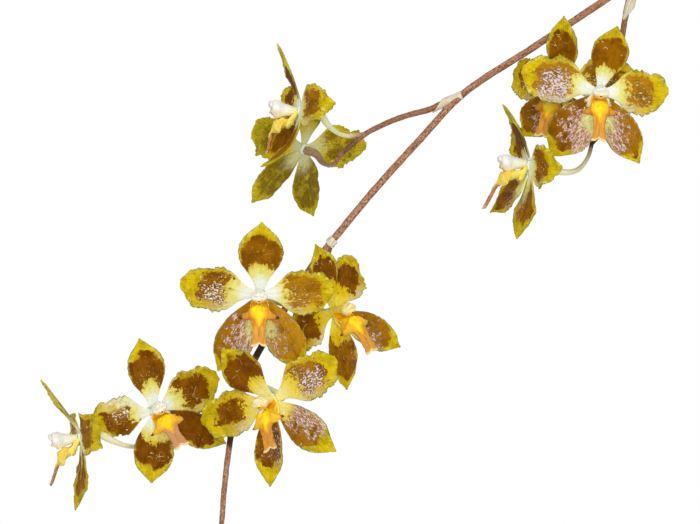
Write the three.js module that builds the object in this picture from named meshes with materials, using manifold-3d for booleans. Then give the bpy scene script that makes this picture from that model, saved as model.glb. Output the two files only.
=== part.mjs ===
// A potted orchid, Oncidium povedanum: a clay pot of bark holds three leafy pseudobulbs,
// and one long flower stem rises from the newest, arches over to the left and hangs its blooms.
// Millimetres, +Z up. The origin is the middle of the pot's underside, and -Y is the front.
import * as THREE from 'three';
import { mergeVertices } from 'three/addons/utils/BufferGeometryUtils.js';
import Module from 'manifold-3d';

const wasm = await Module();
wasm.setup();

// Driving dimensions
const POT = { foot: 36, shoulder: 45.5, rim: 51, height: 88, collar: 20, wall: 5, floor: 6, sides: 28 };
const DRAIN = { count: 3, radius: 4.5, circle: 17 };
const BARK = { top: 74.5, gap: 0.4, chips: 24 };
const GAP = 0.35; // between two pieces that touch on the real plant
const BLADE = 0.6; // thickness of a sepal, petal or lip
const LEAF_THICKNESS = 0.9;
const STEM = { foot: 1.7, arch: 1.15, hanging: 0.78, tip: 0.5 };
const HUB = { radius: 1.7, front: 0.45, back: -1.1 };
const COLUMN = { start: 0.85, length: 6.1 };
const OVARY = { radius: 0.95, straight: 3.2 };

// Where the spray stands. A point of it is given by its pixel in the photograph, 700 wide and 524 high,
// and by how far behind (+) or in front of (-) the hanging stem it lies.
const VIEW = { left: -250, top: 360, mmPerPixel: 0.22, distance: 700, middle: [350, 262] };

function seen(px, py, depth = 0) {
  const [middleX, middleY] = VIEW.middle;
  const spread = VIEW.mmPerPixel * (1 + depth / VIEW.distance);
  return new THREE.Vector3(
    VIEW.left + middleX * VIEW.mmPerPixel + (px - middleX) * spread,
    depth,
    VIEW.top - middleY * VIEW.mmPerPixel - (py - middleY) * spread,
  );
}

// Materials
const paint = (color, roughness) => new THREE.MeshStandardMaterial({ color, roughness, metalness: 0 });
const MATERIALS = {
  clay: paint(0xb4643c, 0.85),
  bark: paint(0x5b3a22, 0.95),
  root: paint(0xb9b49a, 0.8),
  bulb: paint(0x6f8a3a, 0.5),
  leaf: paint(0x4d7430, 0.45),
  stem: paint(0x9a6a4c, 0.7),
  bud: paint(0x9a9a30, 0.5),
  tepal: paint(0xb08a1c, 0.45),
  lip: paint(0xd39a2c, 0.45),
  column: paint(0xf0eedb, 0.4),
};

// Outlines: the half width of a blade as a share of its greatest, from the base to the tip, evenly spaced
const SEPAL = [0.2, 0.4, 0.61, 0.8, 0.93, 0.99, 1.0, 0.92, 0.72, 0.37, 0.04];
const CLAWED = [0.2, 0.3, 0.45, 0.66, 0.87, 0.98, 1.0, 0.93, 0.72, 0.37, 0.04];
const PETAL = [0.18, 0.25, 0.42, 0.72, 0.94, 1.0, 1.0, 0.96, 0.85, 0.57, 0.14];
const PETAL_NOTCHED = [0.18, 0.28, 0.5, 0.8, 0.98, 1.0, 0.91, 0.79, 0.81, 0.59, 0.16];
const LIP = [0.36, 0.38, 0.44, 0.72, 1.0, 0.54, 0.32, 0.3, 0.3, 0.34, 0.42];
const STRAP = [0.4, 0.55, 0.72, 0.86, 0.95, 1.0, 1.0, 0.94, 0.8, 0.52, 0.06];

// The blooms' five tepals as they grow when nothing disturbs them. Angles are in degrees: angle turns
// anticlockwise from the bloom's right, lift leans the base forward, curl bends the tip further forward,
// cup raises the margins and twist turns the tip about the midline. Bend says between which shares of the
// length the curl lies. Lengths run from the bloom's middle.
const TEPALS = {
  dorsal: {
    outline: [CLAWED, CLAWED], angle: 90, length: 16.5, width: 9.2,
    lift: 14, curl: -6, cup: 14, ruffle: 0.3, phase: 0.4,
  },
  petalRight: {
    outline: [PETAL, PETAL_NOTCHED], angle: 6, length: 16.5, width: 9.8,
    lift: -4, curl: -12, cup: 6, ruffle: 0.8, phase: 1.2,
  },
  petalLeft: {
    outline: [PETAL_NOTCHED, PETAL], angle: 174, length: 16.5, width: 9.8,
    lift: -4, curl: -12, cup: 6, ruffle: 0.8, phase: 2.9,
  },
  sepalRight: {
    outline: [SEPAL, SEPAL], angle: -60, length: 18.1, width: 8.4,
    lift: 12, curl: -16, cup: 8, ruffle: 0.35, phase: 2.1,
  },
  sepalLeft: {
    outline: [SEPAL, SEPAL], angle: -120, length: 18.1, width: 8.4,
    lift: 12, curl: -16, cup: 8, ruffle: 0.35, phase: 0.9,
  },
};
const LIP_BLADE = {
  outline: [LIP, LIP], angle: -90, length: 14, width: 8.8,
  lift: 72, curl: -50, bend: [0.36, 0.6], cup: 10, start: 2, rise: 1.2, callus: 1.5,
};

// Each bloom: the pixel and depth of its middle, the way it faces (yaw to the right, nod downwards, roll
// anticlockwise) and what its own tepals do differently. Angles of tepals here include the roll.
const BLOOMS = [
  {
    name: 'bloom_01', at: [155, 411.5, -6], yaw: 18, nod: 0, roll: 27,
    dorsal: { angle: 104, length: 16.6, lift: 10, width: 8.4 },
    petalRight: { angle: 27, length: 17 },
    petalLeft: { angle: 187, length: 13.9, width: 8.6 },
    sepalRight: { angle: -24, length: 18.1, width: 7.4, lift: 3 },
    sepalLeft: { angle: -94, length: 15.6, width: 9 },
    lip: { lift: 78, length: 12.9 },
  },
  {
    name: 'bloom_02', at: [81, 437.4, -12], yaw: -82, nod: 7, roll: 0,
    dorsal: { angle: 90, length: 15.3, lift: 30, curl: 0, width: 8 },
    petalRight: { angle: 8, length: 14, width: 9, lift: 0, curl: -34, ruffle: 1.2 },
    petalLeft: { angle: 170, length: 13.5, lift: 4, curl: 4, width: 7 },
    sepalRight: { angle: -76, length: 16.1, lift: -2, curl: 30, twist: -28 },
    sepalLeft: { angle: -106, length: 14.4, lift: 2, curl: 16 },
    lip: { lift: 60, curl: -34, length: 12.4, start: 2.4 },
    column: { drop: 0.55 },
  },
  {
    name: 'bloom_03', at: [259.8, 295, -10], yaw: 0, nod: 9, roll: 0,
    dorsal: { angle: 88, length: 16.7, width: 9.8 },
    petalRight: { angle: 3, length: 16.5 },
    petalLeft: { angle: 173, length: 17.8 },
    sepalRight: { angle: -60, length: 18.8 },
    sepalLeft: { angle: -119, length: 19 },
  },
  {
    name: 'bloom_04', at: [334, 311.5, 1], yaw: 38, nod: -1, roll: 21,
    dorsal: { angle: 116, length: 16.6, width: 7.4 },
    petalRight: { angle: 58, length: 14.3 },
    petalLeft: { angle: 206, length: 13.5 },
    sepalRight: { angle: -27, length: 18.1, lift: 16, curl: -8, width: 7.6 },
    sepalLeft: { angle: -82, length: 17.5, width: 7.6 },
  },
  {
    name: 'bloom_05', at: [273, 400.5, -15.5], yaw: -27, nod: 9, roll: 16,
    dorsal: { angle: 131, length: 15.7, width: 9.2 },
    petalRight: { angle: 31, length: 17.3 },
    petalLeft: { angle: 196, length: 19.3, lift: 4 },
    sepalRight: { angle: -35, length: 18.4 },
    sepalLeft: { angle: -95, length: 18.9, width: 6.6, cup: 34, twist: -20 },
    lip: { angle: -84 },
  },
  {
    name: 'bloom_06', at: [300.2, 111, -10], yaw: -82, nod: -6, roll: 0,
    dorsal: { angle: 90, length: 15.5, lift: 21, curl: 12, width: 6.6 },
    petalRight: { angle: 7, length: 15.5, width: 8.8, lift: 4, curl: -57 },
    petalLeft: { angle: 164, length: 10, lift: 18, curl: 8, width: 8.6 },
    sepalRight: { angle: -68, length: 17.1, lift: 1, curl: 60, width: 8, twist: -30 },
    sepalLeft: { angle: -122, length: 13.2, lift: 11, curl: 30, width: 8, twist: -20 },
    lip: { lift: 66, curl: -60, length: 12.6, start: 2.9 },
    column: { drop: 0.65 },
  },
  {
    name: 'bloom_07', at: [303, 149, 11], yaw: -130, nod: -18, roll: 0,
    dorsal: { angle: 90, length: 14.5, lift: -2, curl: -4 },
    petalRight: { angle: 12, length: 19.4, lift: 4, ruffle: 1.2 },
    petalLeft: { angle: 170, length: 16.3, lift: -14, ruffle: 1.1 },
    sepalRight: { angle: -61, length: 16.7, lift: 24 },
    sepalLeft: { angle: -124, length: 19.3 },
  },
  {
    name: 'bloom_08', at: [598.9, 92.5, -13], yaw: 0, nod: 8, roll: -4,
    dorsal: { angle: 76, length: 15.2, width: 8 },
    petalRight: { angle: 0, length: 15.5 },
    petalLeft: { angle: 164, length: 17.5, width: 10.2 },
    sepalRight: { angle: -60, length: 17.7, width: 7.6 },
    sepalLeft: { angle: -127, length: 17.3, width: 10 },
  },
  {
    name: 'bloom_09', at: [529.5, 165.7, -8], yaw: -82, nod: 0, roll: 0,
    dorsal: { angle: 90, length: 14.7, lift: 14, curl: 24, width: 7.2 },
    petalRight: { angle: -3, length: 14, lift: -2, curl: -38, width: 8.4 },
    petalLeft: { angle: 140, length: 12.2, lift: 7, curl: 8, width: 8.6 },
    sepalRight: { angle: -78, length: 16.8, lift: 1, curl: 24, width: 9, twist: -32 },
    sepalLeft: { angle: -124, length: 14.5, lift: 20, curl: 28 },
    lip: { lift: 74, curl: -46, length: 14.3 },
  },
  {
    name: 'bloom_10', at: [562, 91, -1], yaw: -25, nod: 6, roll: 0,
    dorsal: { angle: 82, length: 16.9, width: 7.4 },
    petalRight: { angle: 13, length: 16.3, lift: -16 },
    petalLeft: { angle: 160, length: 13.1 },
    sepalRight: { angle: -66, length: 12.5 },
    sepalLeft: { angle: -134, length: 13.5 },
    lip: { angle: -100 },
  },
  { name: 'bloom_11', at: [818, 46, -6], yaw: 22, nod: 12, roll: -8 },
  { name: 'bloom_12', at: [872, 118, 6], yaw: 104, nod: 6, roll: 6 },
  { name: 'bloom_13', at: [186, 640, -6], yaw: -32, nod: 14, roll: 4, dorsal: { length: 15 } },
];

// The flower stem: its foot in the bark, then the arch, then what hangs
const PEDUNCLE = [
  [31, -6, 62], [32, -7, 90], [34.5, -8, 140], [37.5, -8, 195], [39, -7, 245], [36, -5.5, 290],
  [25, -4, 328], [5, -2.5, 356], [-24, -1, 372.5], [-58, 0, 376.5], [-88, 0, 371.5],
].map((point) => new THREE.Vector3(...point));
const RACHIS = [
  seen(640, -24), seen(605, 0), seen(534, 47), seen(463, 94), seen(421, 138.4), seen(373.5, 191),
  seen(331, 242.5), seen(310, 269, 0.6), seen(285, 309, 1), seen(261, 347.5, 0.6), seen(239, 393.5),
  seen(230, 441.6), seen(224.2, 489.4), seen(221, 530), seen(215, 572, -0.5), seen(206, 610, -1),
  seen(199, 645, -1),
];

// Side branches, from the stem outwards
const BRANCHES = {
  A: [
    seen(638, -24), seen(629, 0, 1.5), seen(622, 38, 3), seen(614, 90, 6), seen(604, 128, 6.5),
    seen(592, 143, 4),
  ],
  B: [
    seen(463, 94), seen(448, 101, 0.4), seen(429, 109.5, 0.8), seen(402, 117, 0.8), seen(374, 129, 0.6),
    seen(365.5, 134, 0.8), seen(352, 144.5, 0.6), seen(338, 157, 0),
  ],
  C: [seen(331, 242.5), seen(325, 262, 2.6), seen(318, 282, 5.4)],
  D: [seen(239, 393.5), seen(215, 403, 0.6), seen(192, 414, 1.2), seen(172, 428, 1.6), seen(155, 440, 1)],
  E: [
    new THREE.Vector3(-64, 0, 376.5), seen(822, -30, 2), seen(826, 10, 5), seen(838, 48, 7),
    seen(850, 74, 7),
  ],
  F: [seen(215, 572, -0.5), seen(205, 585, 1), seen(198, 602, 2.5)],
};

// A bloom's stalk: where it leaves its branch, and the points it passes on the way to the bloom's back
const STALKS = {
  bloom_01: [seen(172, 428, 1.6), seen(163, 424, -1)],
  bloom_02: [seen(155, 440, 1), seen(143, 445.5, -3), seen(128, 446, -7), seen(113, 441, -10)],
  bloom_03: [seen(288, 305, 1), seen(278, 303, 1.2)],
  bloom_04: [seen(318, 282, 5.4), seen(316, 296, 6.6)],
  bloom_05: [seen(246, 378, 0.2), seen(252, 380, -2)],
  bloom_06: [
    seen(365.5, 134, 0.8), seen(357, 135.2, 0), seen(348, 136, -2), seen(338, 133, -5), seen(328, 125, -8),
  ],
  bloom_07: [seen(338, 157, 0), seen(336, 162.5, 1.5), seen(329.5, 165, 4), seen(322, 162, 6.4)],
  bloom_08: [seen(600, 134, 5.6), seen(599, 125, -1), seen(598.5, 109, -6.5)],
  bloom_09: [seen(592, 143, 4), seen(588, 157, 1), seen(577, 170, -4), seen(562, 172, -7)],
  bloom_10: [seen(614, 90, 6), seen(600, 85, 7.4), seen(584, 86, 5.6)],
  bloom_11: [seen(838, 48, 7), seen(829, 49, 3)],
  bloom_12: [seen(850, 74, 7), seen(848, 92, 8), seen(848, 110, 8)],
  bloom_13: [seen(198, 602, 2.5), seen(199, 618, 3)],
};

// Buds: the point where the stalk leaves the stem, the bud's base, and its tip
const BUDS = [
  [seen(199, 645, -1), seen(190, 668, 0), seen(179, 693, 0.5)],
  [seen(199, 645, -1), seen(205, 672, -2.5), seen(208, 700, -3.5)],
  [seen(221, 530, 0), seen(236, 556, 3), seen(243, 586, 4.5)],
  [seen(206, 610, -1), seen(222, 628, -4), seen(232, 652, -6)],
];
const BUD_WIDTH = 4;

// Sheathing bracts at the joints of the stem: where they wrap it, and which way they run
const BRACTS = [
  { along: [seen(462, 95), seen(448, 101, 0.4), seen(431, 108.6, 0.8)], radius: 1.0 },
  { along: [seen(335.5, 237.5), seen(331, 243), seen(327, 248)], radius: 1.2 },
  { along: [seen(638, -20, 0.3), seen(631, 0, 1.5), seen(627, 20, 2.3)], radius: 1.0 },
  { along: [seen(245, 381), seen(239, 393.5), seen(236, 407)], radius: 1.15 },
];

// The plant: each pseudobulb's foot, height and widths
const BULBS = [
  { name: 'pseudobulb_old', at: [-27, 7, 74.5], height: 40, width: 23, depth: 14, turn: 6, lean: -7 },
  { name: 'pseudobulb_middle', at: [-4, 2, 75], height: 46, width: 26, depth: 15, turn: -4, lean: -2 },
  { name: 'pseudobulb_lead', at: [17, -3, 75], height: 43, width: 22, depth: 13.5, turn: 8, lean: 5 },
];

// Two leaves stand at the top of each pseudobulb, on its left (-1) and right (1), and two come up
// through the bark beside the newest ones. Heading is the way a leaf arches, seen from above.
const LEAVES = [
  { bulb: 0, side: -1, heading: 168, length: 138, width: 17, lift: 66, curl: -84, twist: 14 },
  { bulb: 0, side: 1, heading: 118, length: 128, width: 16, lift: 74, curl: -78, twist: -12 },
  { bulb: 1, side: -1, heading: 196, length: 158, width: 19, lift: 74, curl: -96, twist: -10 },
  { bulb: 1, side: 1, heading: 52, length: 162, width: 19, lift: 76, curl: -88, twist: 12 },
  { bulb: 2, side: -1, heading: 238, length: 140, width: 18, lift: 78, curl: -100, twist: 10 },
  { bulb: 2, side: 1, heading: 14, length: 166, width: 18, lift: 72, curl: -92, twist: -14 },
];
const LEAF_SEAT = { side: 2.2, lift: 0.5 }; // from the middle of a pseudobulb's top to a leaf's foot
const SHEATH_LEAVES = [
  { at: [4.4, -12, 72.6], heading: 262, length: 112, width: 14, lift: 76, curl: -92, twist: 16 },
  { at: [33.5, -4, 72.6], heading: 36, length: 116, width: 14, lift: 72, curl: -84, twist: -16 },
];
const RHIZOME = [[-38, 8, 71.5], [-27, 6, 71.4], [-4, 1, 71.4], [17, -4, 71.4], [27, -6, 70.5]];
const ROOTS = [
  [[-27, 6, 71.4], [-33, -8, 75], [-28, -24, 75], [-21, -32, 68]],
  [[-4, 1, 71.4], [-2, -15, 75], [5, -28, 75], [13, -33, 68]],
  [[17, -4, 71.4], [29, 4, 75], [34, 14, 75], [31, 24, 68]],
  [[-4, 1, 71.4], [-4, 16, 75], [4, 28, 75], [14, 34, 68]],
];

// Small mathematics
const RADIANS = Math.PI / 180;

// A repeatable stream of numbers between 0 and 1
function randomFrom(seed) {
  let state = seed;
  return () => {
    state = (state * 1664525 + 1013904223) % 4294967296;
    return state / 4294967296;
  };
}

// A smooth curve through evenly spaced values, read at t between 0 and 1
function smoothAt(values, t) {
  const last = values.length - 1;
  const place = Math.min(Math.max(t, 0), 1) * last;
  const i = Math.min(Math.floor(place), last - 1);
  const f = place - i;
  const [a, b, c, d] = [i - 1, i, i + 1, i + 2].map((k) => values[Math.min(Math.max(k, 0), last)]);
  return b + 0.5 * f * (c - a + f * (2 * a - 5 * b + 4 * c - d + f * (3 * (b - c) + d - a)));
}

function smoothStep(low, high, x) {
  const f = Math.min(Math.max((x - low) / (high - low), 0), 1);
  return f * f * (3 - 2 * f);
}

// Closed bodies

// A closed geometry from vertices and triangles
function closedGeometry(points, triangles) {
  const geometry = new THREE.BufferGeometry().setFromPoints(points);
  geometry.setIndex(triangles.flat());
  return geometry;
}

// A solid skinned over rings of points, with its two ends closed by a fan
function loft(rings) {
  const sides = rings[0].length;
  const points = rings.flat();
  const triangles = [];
  for (let r = 0; r < rings.length - 1; r += 1) {
    for (let i = 0; i < sides; i += 1) {
      const [a, b] = [r * sides + i, r * sides + ((i + 1) % sides)];
      triangles.push([a, b, b + sides], [a, b + sides, a + sides]);
    }
  }
  [0, rings.length - 1].forEach((end) => {
    const first = end * sides;
    const centre = rings[end].reduce((sum, p) => sum.add(p), new THREE.Vector3()).divideScalar(sides);
    const middle = points.push(centre) - 1;
    for (let i = 0; i < sides; i += 1) {
      const [a, b] = [first + i, first + ((i + 1) % sides)];
      triangles.push(end === 0 ? [b, a, middle] : [a, b, middle]);
    }
  });
  return closedGeometry(points, triangles);
}

// A tapering round tube along a smooth curve through the points
function tube(points, radii, sides = 6, steps = 8) {
  const curve = new THREE.CatmullRomCurve3(points, false, 'centripetal');
  const { normals, binormals } = curve.computeFrenetFrames(steps, false);
  const rings = [];
  for (let i = 0; i <= steps; i += 1) {
    const centre = curve.getPointAt(i / steps);
    const radius = smoothAt(radii, i / steps);
    rings.push(Array.from({ length: sides }, (_, k) => {
      const turn = (2 * Math.PI * k) / sides;
      return centre.clone()
        .addScaledVector(normals[i], radius * Math.cos(turn))
        .addScaledVector(binormals[i], radius * Math.sin(turn));
    }));
  }
  return loft(rings);
}

// Blades: sepals, petals, lips and leaves are all one curved sheet, thickened

// A point of a blade's middle sheet. t runs from base (0) to tip (1), s from one margin (-1) to the other.
function bladePoint(blade, t, s) {
  const { width, start = 1.1, rise = 0, ruffle = 0, phase = 0, waves = 1.8 } = blade;
  const [from, to] = blade.bend ?? [0, 1];
  const length = blade.length - start;
  const [angle, lift, curl, cup, twist] = ['angle', 'lift', 'curl', 'cup', 'twist']
    .map((key) => (blade[key] ?? 0) * RADIANS);
  const rate = (Math.abs(curl) < 1e-4 ? 1e-4 : curl) / (to - from);
  const pitch = lift + rate * (Math.min(Math.max(t, from), to) - from);
  const straight = (turn) => Math.min(t, from) * turn(lift) + Math.max(t - to, 0) * turn(pitch);
  const along = start + length * (straight(Math.cos) + (Math.sin(pitch) - Math.sin(lift)) / rate);
  const height = rise + length * (straight(Math.sin) + (Math.cos(lift) - Math.cos(pitch)) / rate);
  const half = (width / 2) * Math.max(smoothAt(blade.outline[s > 0 ? 1 : 0], t), 0.02);
  const arc = Math.max(Math.abs(cup), 1e-3) * s;
  const across = (half * Math.sin(arc)) / Math.max(Math.abs(cup), 1e-3);
  const margin = smoothStep(0.2, 0.6, t) * (1 - smoothStep(0.85, 1, t)) * Math.abs(s) ** 3;
  const wave = ruffle * margin * Math.sin(2 * Math.PI * waves * t + phase + (s > 0 ? 1.9 : 0));
  const raised = (Math.sign(cup) * half * (1 - Math.cos(arc))) / Math.max(Math.abs(cup), 1e-3) + wave;
  const turn = twist * t;
  const side = across * Math.cos(turn) - raised * Math.sin(turn);
  const out = across * Math.sin(turn) + raised * Math.cos(turn);
  const run = along - out * Math.sin(pitch);
  return new THREE.Vector3(
    run * Math.cos(angle) - side * Math.sin(angle),
    run * Math.sin(angle) + side * Math.cos(angle),
    height + out * Math.cos(pitch),
  );
}

// The way a blade faces at a point, from its two slopes
function bladeNormal(blade, t, s) {
  const step = 0.01;
  const [t0, t1] = [Math.max(t - step, 0), Math.min(t + step, 1)];
  const [s0, s1] = [Math.max(s - step, -1), Math.min(s + step, 1)];
  const alongT = bladePoint(blade, t1, s).sub(bladePoint(blade, t0, s));
  const alongS = bladePoint(blade, t, s1).sub(bladePoint(blade, t, s0));
  return alongT.cross(alongS).normalize();
}

// How much thicker the front is at a point, where the blade has a callus
function swelling({ callus = 0 }, t, s) {
  const rise = 0.3 + 0.7 * smoothStep(0, 0.2, t);
  return callus * rise * (1 - smoothStep(0.25, 0.45, t)) * (1 - smoothStep(0.4, 1, Math.abs(s)));
}

// The blade as a closed solid, both faces split into triangles alike
function bladeSolid(blade, stations, across, thickness = BLADE) {
  const front = [];
  const back = [];
  stations.forEach((t) => across.forEach((s) => {
    const point = bladePoint(blade, t, s);
    const normal = bladeNormal(blade, t, s);
    front.push(point.clone().addScaledVector(normal, thickness / 2 + swelling(blade, t, s)));
    back.push(point.clone().addScaledVector(normal, -thickness / 2));
  }));
  const columns = across.length;
  const offset = front.length;
  const triangles = [];
  for (let i = 0; i < stations.length - 1; i += 1) {
    for (let j = 0; j < columns - 1; j += 1) {
      const [a, b] = [i * columns + j, (i + 1) * columns + j];
      const faces = [[a, b, b + 1], [a, b + 1, a + 1]];
      faces.forEach(([p, q, r]) => triangles.push([p, q, r], [p + offset, r + offset, q + offset]));
    }
  }
  const rim = [];
  for (let j = 0; j < columns - 1; j += 1) rim.push(j);
  for (let i = 0; i < stations.length - 1; i += 1) rim.push(i * columns + columns - 1);
  for (let j = columns - 1; j > 0; j -= 1) rim.push((stations.length - 1) * columns + j);
  for (let i = stations.length - 1; i > 0; i -= 1) rim.push(i * columns);
  rim.forEach((a, k) => {
    const b = rim[(k + 1) % rim.length];
    triangles.push([a, b, b + offset], [a, b + offset, a + offset]);
  });
  return closedGeometry([...front, ...back], triangles);
}

// Joining and cutting

function toSolid(geometry) {
  const bare = geometry.index ? geometry.toNonIndexed() : geometry.clone();
  bare.deleteAttribute('normal');
  bare.deleteAttribute('uv');
  const merged = mergeVertices(bare, 1e-4);
  return new wasm.Manifold(new wasm.Mesh({
    numProp: 3,
    vertProperties: merged.getAttribute('position').array,
    triVerts: new Uint32Array(merged.index.array),
  }));
}

function toGeometry(solid) {
  const { numProp, vertProperties, triVerts } = solid.getMesh();
  const positions = [];
  for (let i = 0; i < vertProperties.length; i += numProp) {
    positions.push(vertProperties[i], vertProperties[i + 1], vertProperties[i + 2]);
  }
  const geometry = new THREE.BufferGeometry();
  geometry.setAttribute('position', new THREE.Float32BufferAttribute(positions, 3));
  geometry.setIndex([...triVerts]);
  return geometry;
}

function fuse(geometries) {
  return toGeometry(geometries.map(toSolid).reduce((whole, next) => whole.add(next)));
}

function cut(geometry, tools) {
  return toGeometry(tools.map(toSolid).reduce((whole, tool) => whole.subtract(tool), toSolid(geometry)));
}

function namedMesh(name, geometry, material) {
  geometry.computeVertexNormals();
  const mesh = new THREE.Mesh(geometry, material);
  mesh.name = name;
  return mesh;
}

// Pot
function pot() {
  const { foot, shoulder, rim, height, collar, wall, floor, sides } = POT;
  const chamfer = 1.5;
  const profile = [
    [0, 0], [foot - chamfer, 0], [foot, chamfer], [shoulder, height - collar],
    [rim - chamfer, height - collar], [rim, height - collar + chamfer], [rim, height - chamfer],
    [rim - chamfer, height], [rim - wall + chamfer, height], [rim - wall, height - chamfer],
    [shoulder - wall, height - collar - wall], [foot - wall + 0.8, floor], [0, floor],
  ].map(([x, y]) => new THREE.Vector2(x, y));
  const body = new THREE.LatheGeometry(profile, sides).rotateX(Math.PI / 2);
  const drains = Array.from({ length: DRAIN.count }, (_, k) => {
    const turn = (2 * Math.PI * k) / DRAIN.count + Math.PI / 2;
    return new THREE.CylinderGeometry(DRAIN.radius, DRAIN.radius, 4 * floor, 12)
      .rotateX(Math.PI / 2)
      .translate(DRAIN.circle * Math.cos(turn), DRAIN.circle * Math.sin(turn), 0);
  });
  return cut(body, drains);
}

// Bark: a filling with chips on top, which are a little sunk in and lie at random
function bark(hollows) {
  const { shoulder, rim, height, collar, wall, floor, foot } = POT;
  const { top, gap } = BARK;
  const innerRim = rim - wall - gap;
  const rise = (top - (height - collar - wall)) / (collar + wall - 1.5);
  const topRadius = shoulder - wall - gap + rise * (innerRim - (shoulder - wall - gap)) - gap;
  const profile = [
    [0, floor + gap], [foot - wall + 0.3, floor + gap], [shoulder - wall - gap, height - collar - wall],
    [topRadius, top], [0, top],
  ].map(([x, y]) => new THREE.Vector2(x, y));
  const filling = new THREE.LatheGeometry(profile, 24).rotateX(Math.PI / 2);
  const random = randomFrom(11);
  const chips = Array.from({ length: BARK.chips }, (_, k) => {
    const radius = (topRadius - 7) * Math.sqrt((k + 0.5) / BARK.chips);
    const turn = k * 2.39996;
    const [length, width, thickness] = [8 + 5 * random(), 6 + 3 * random(), 3.4 + 1.6 * random()];
    return new THREE.BoxGeometry(length, width, thickness)
      .rotateX((random() - 0.5) * 0.3)
      .rotateY((random() - 0.5) * 0.3)
      .rotateZ(random() * Math.PI)
      .translate(radius * Math.cos(turn), radius * Math.sin(turn), top - 0.4 + random());
  });
  return cut(fuse([filling, ...chips]), hollows);
}

// Pseudobulbs: flattened ovoids, which narrow to where the leaves grow
function bulbGeometry({ height, width, depth, turn, lean }, grow = 0) {
  const outline = [0.42, 0.78, 0.97, 1.0, 0.9, 0.7, 0.46, 0.24];
  const sides = 8;
  const rings = outline.map((share, r) => {
    const z = (r / (outline.length - 1)) * height;
    return Array.from({ length: sides }, (_, k) => {
      const angle = (2 * Math.PI * k) / sides;
      return new THREE.Vector3(
        Math.cos(angle) * ((share * width) / 2 + grow),
        Math.sin(angle) * ((share * depth) / 2 + grow),
        z - (r === 0 ? grow : 0),
      );
    });
  });
  return loft(rings).rotateY(lean * RADIANS).rotateZ(turn * RADIANS);
}

// Where a leaf stands on a pseudobulb's top
function leafFoot(bulb, side) {
  return new THREE.Vector3(LEAF_SEAT.side * side, 0, bulb.height + LEAF_SEAT.lift)
    .applyAxisAngle(new THREE.Vector3(0, 1, 0), bulb.lean * RADIANS)
    .applyAxisAngle(new THREE.Vector3(0, 0, 1), bulb.turn * RADIANS)
    .add(new THREE.Vector3(...bulb.at));
}

// Leaves: folded straps that rise and arch over
const LEAF = { outline: [STRAP, STRAP], angle: 0, start: 0, cup: 34 };
const LEAF_STATIONS = [0, 0.08, 0.2, 0.34, 0.48, 0.62, 0.76, 0.89, 1];
const LEAF_ACROSS = [-1, 0, 1];

function leafMesh(name, leaf, foot) {
  const solid = bladeSolid({ ...LEAF, ...leaf }, LEAF_STATIONS, LEAF_ACROSS, LEAF_THICKNESS);
  const mesh = namedMesh(name, solid, MATERIALS.leaf);
  mesh.rotation.z = leaf.heading * RADIANS;
  mesh.position.copy(foot);
  return mesh;
}

// The hollow that a sheath leaf needs in the bark: its own foot, grown all round
function leafHollow(leaf) {
  const grown = { ...LEAF, ...leaf, width: leaf.width + 5 * GAP };
  const [x, y, z] = leaf.at;
  return bladeSolid(grown, LEAF_STATIONS.slice(0, 3), LEAF_ACROSS, LEAF_THICKNESS + 2 * GAP)
    .rotateZ(leaf.heading * RADIANS)
    .translate(x, y, z - GAP);
}

// Flower stem: peduncle, branches, stalks, ovaries and bracts, grown as one
function stemGeometry(frames) {
  const { foot, arch, hanging, tip: end } = STEM;
  const radii = [foot, 1.6, 1.45, 1.3, arch, 0.95, hanging, hanging, end];
  const main = tube([...PEDUNCLE, ...RACHIS], radii, 5, 46);
  const branches = Object.values(BRANCHES).map((points) => tube(points, [0.72, 0.66, 0.6, 0.55], 5, 6));
  const stalks = BLOOMS.map(({ name }) => {
    const { middle, facing } = frames[name];
    const back = middle.clone().addScaledVector(facing, HUB.back - GAP);
    const ovary = back.clone().addScaledVector(facing, -OVARY.straight);
    return tube([...STALKS[name], ovary, back], [0.5, 0.48, 0.5, 0.62, 0.85, OVARY.radius], 5, 6);
  });
  const budStalks = BUDS.map(([from, base, tip]) => {
    const back = tip.clone().sub(base).normalize().multiplyScalar(-GAP);
    return tube([from, from.clone().lerp(base, 0.55), base.clone().add(back)], [0.45, 0.45, 0.5], 5, 3);
  });
  const bracts = BRACTS.map(({ along, radius }) => tube(along, [radius, radius, radius * 0.8], 6, 2));
  return fuse([main, ...branches, ...stalks, ...budStalks, ...bracts]);
}

// Blooms
const SEPAL_STATIONS = [0, 0.2, 0.42, 0.64, 0.85, 1];
const PETAL_STATIONS = [0, 0.18, 0.34, 0.5, 0.68, 0.85, 1];
const TEPAL_ACROSS = [-1, 0, 1];
const LIP_STATIONS = [0, 0.14, 0.26, 0.34, 0.42, 0.52, 0.76, 1];
const LIP_ACROSS = [-1, -0.4, 0.4, 1];

// The turn that faces a bloom's own +z the way it looks, with its own +y up
function bloomTurn({ yaw, nod, roll }) {
  const about = (x, y, z, degrees) => new THREE.Quaternion()
    .setFromAxisAngle(new THREE.Vector3(x, y, z), degrees * RADIANS);
  return about(0, 0, 1, yaw).multiply(about(1, 0, 0, 90 + nod)).multiply(about(0, 0, 1, roll));
}

// A tepal's own shape: the usual one, changed by what the bloom says. Angles lose the bloom's roll.
function tepalOf(bloom, part) {
  const own = bloom[part] ?? {};
  const angle = own.angle === undefined ? TEPALS[part].angle : own.angle - bloom.roll;
  return { ...TEPALS[part], ...own, angle };
}

function tepalsGeometry(bloom) {
  const blades = Object.keys(TEPALS).map((part) => {
    const petal = part.startsWith('petal');
    return bladeSolid(tepalOf(bloom, part), petal ? PETAL_STATIONS : SEPAL_STATIONS, TEPAL_ACROSS);
  });
  const depth = HUB.front - HUB.back;
  const hub = new THREE.CylinderGeometry(HUB.radius, HUB.radius * 0.7, depth, 6)
    .rotateX(Math.PI / 2)
    .translate(0, 0, (HUB.front + HUB.back) / 2);
  return fuse([hub, ...blades]);
}

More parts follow.
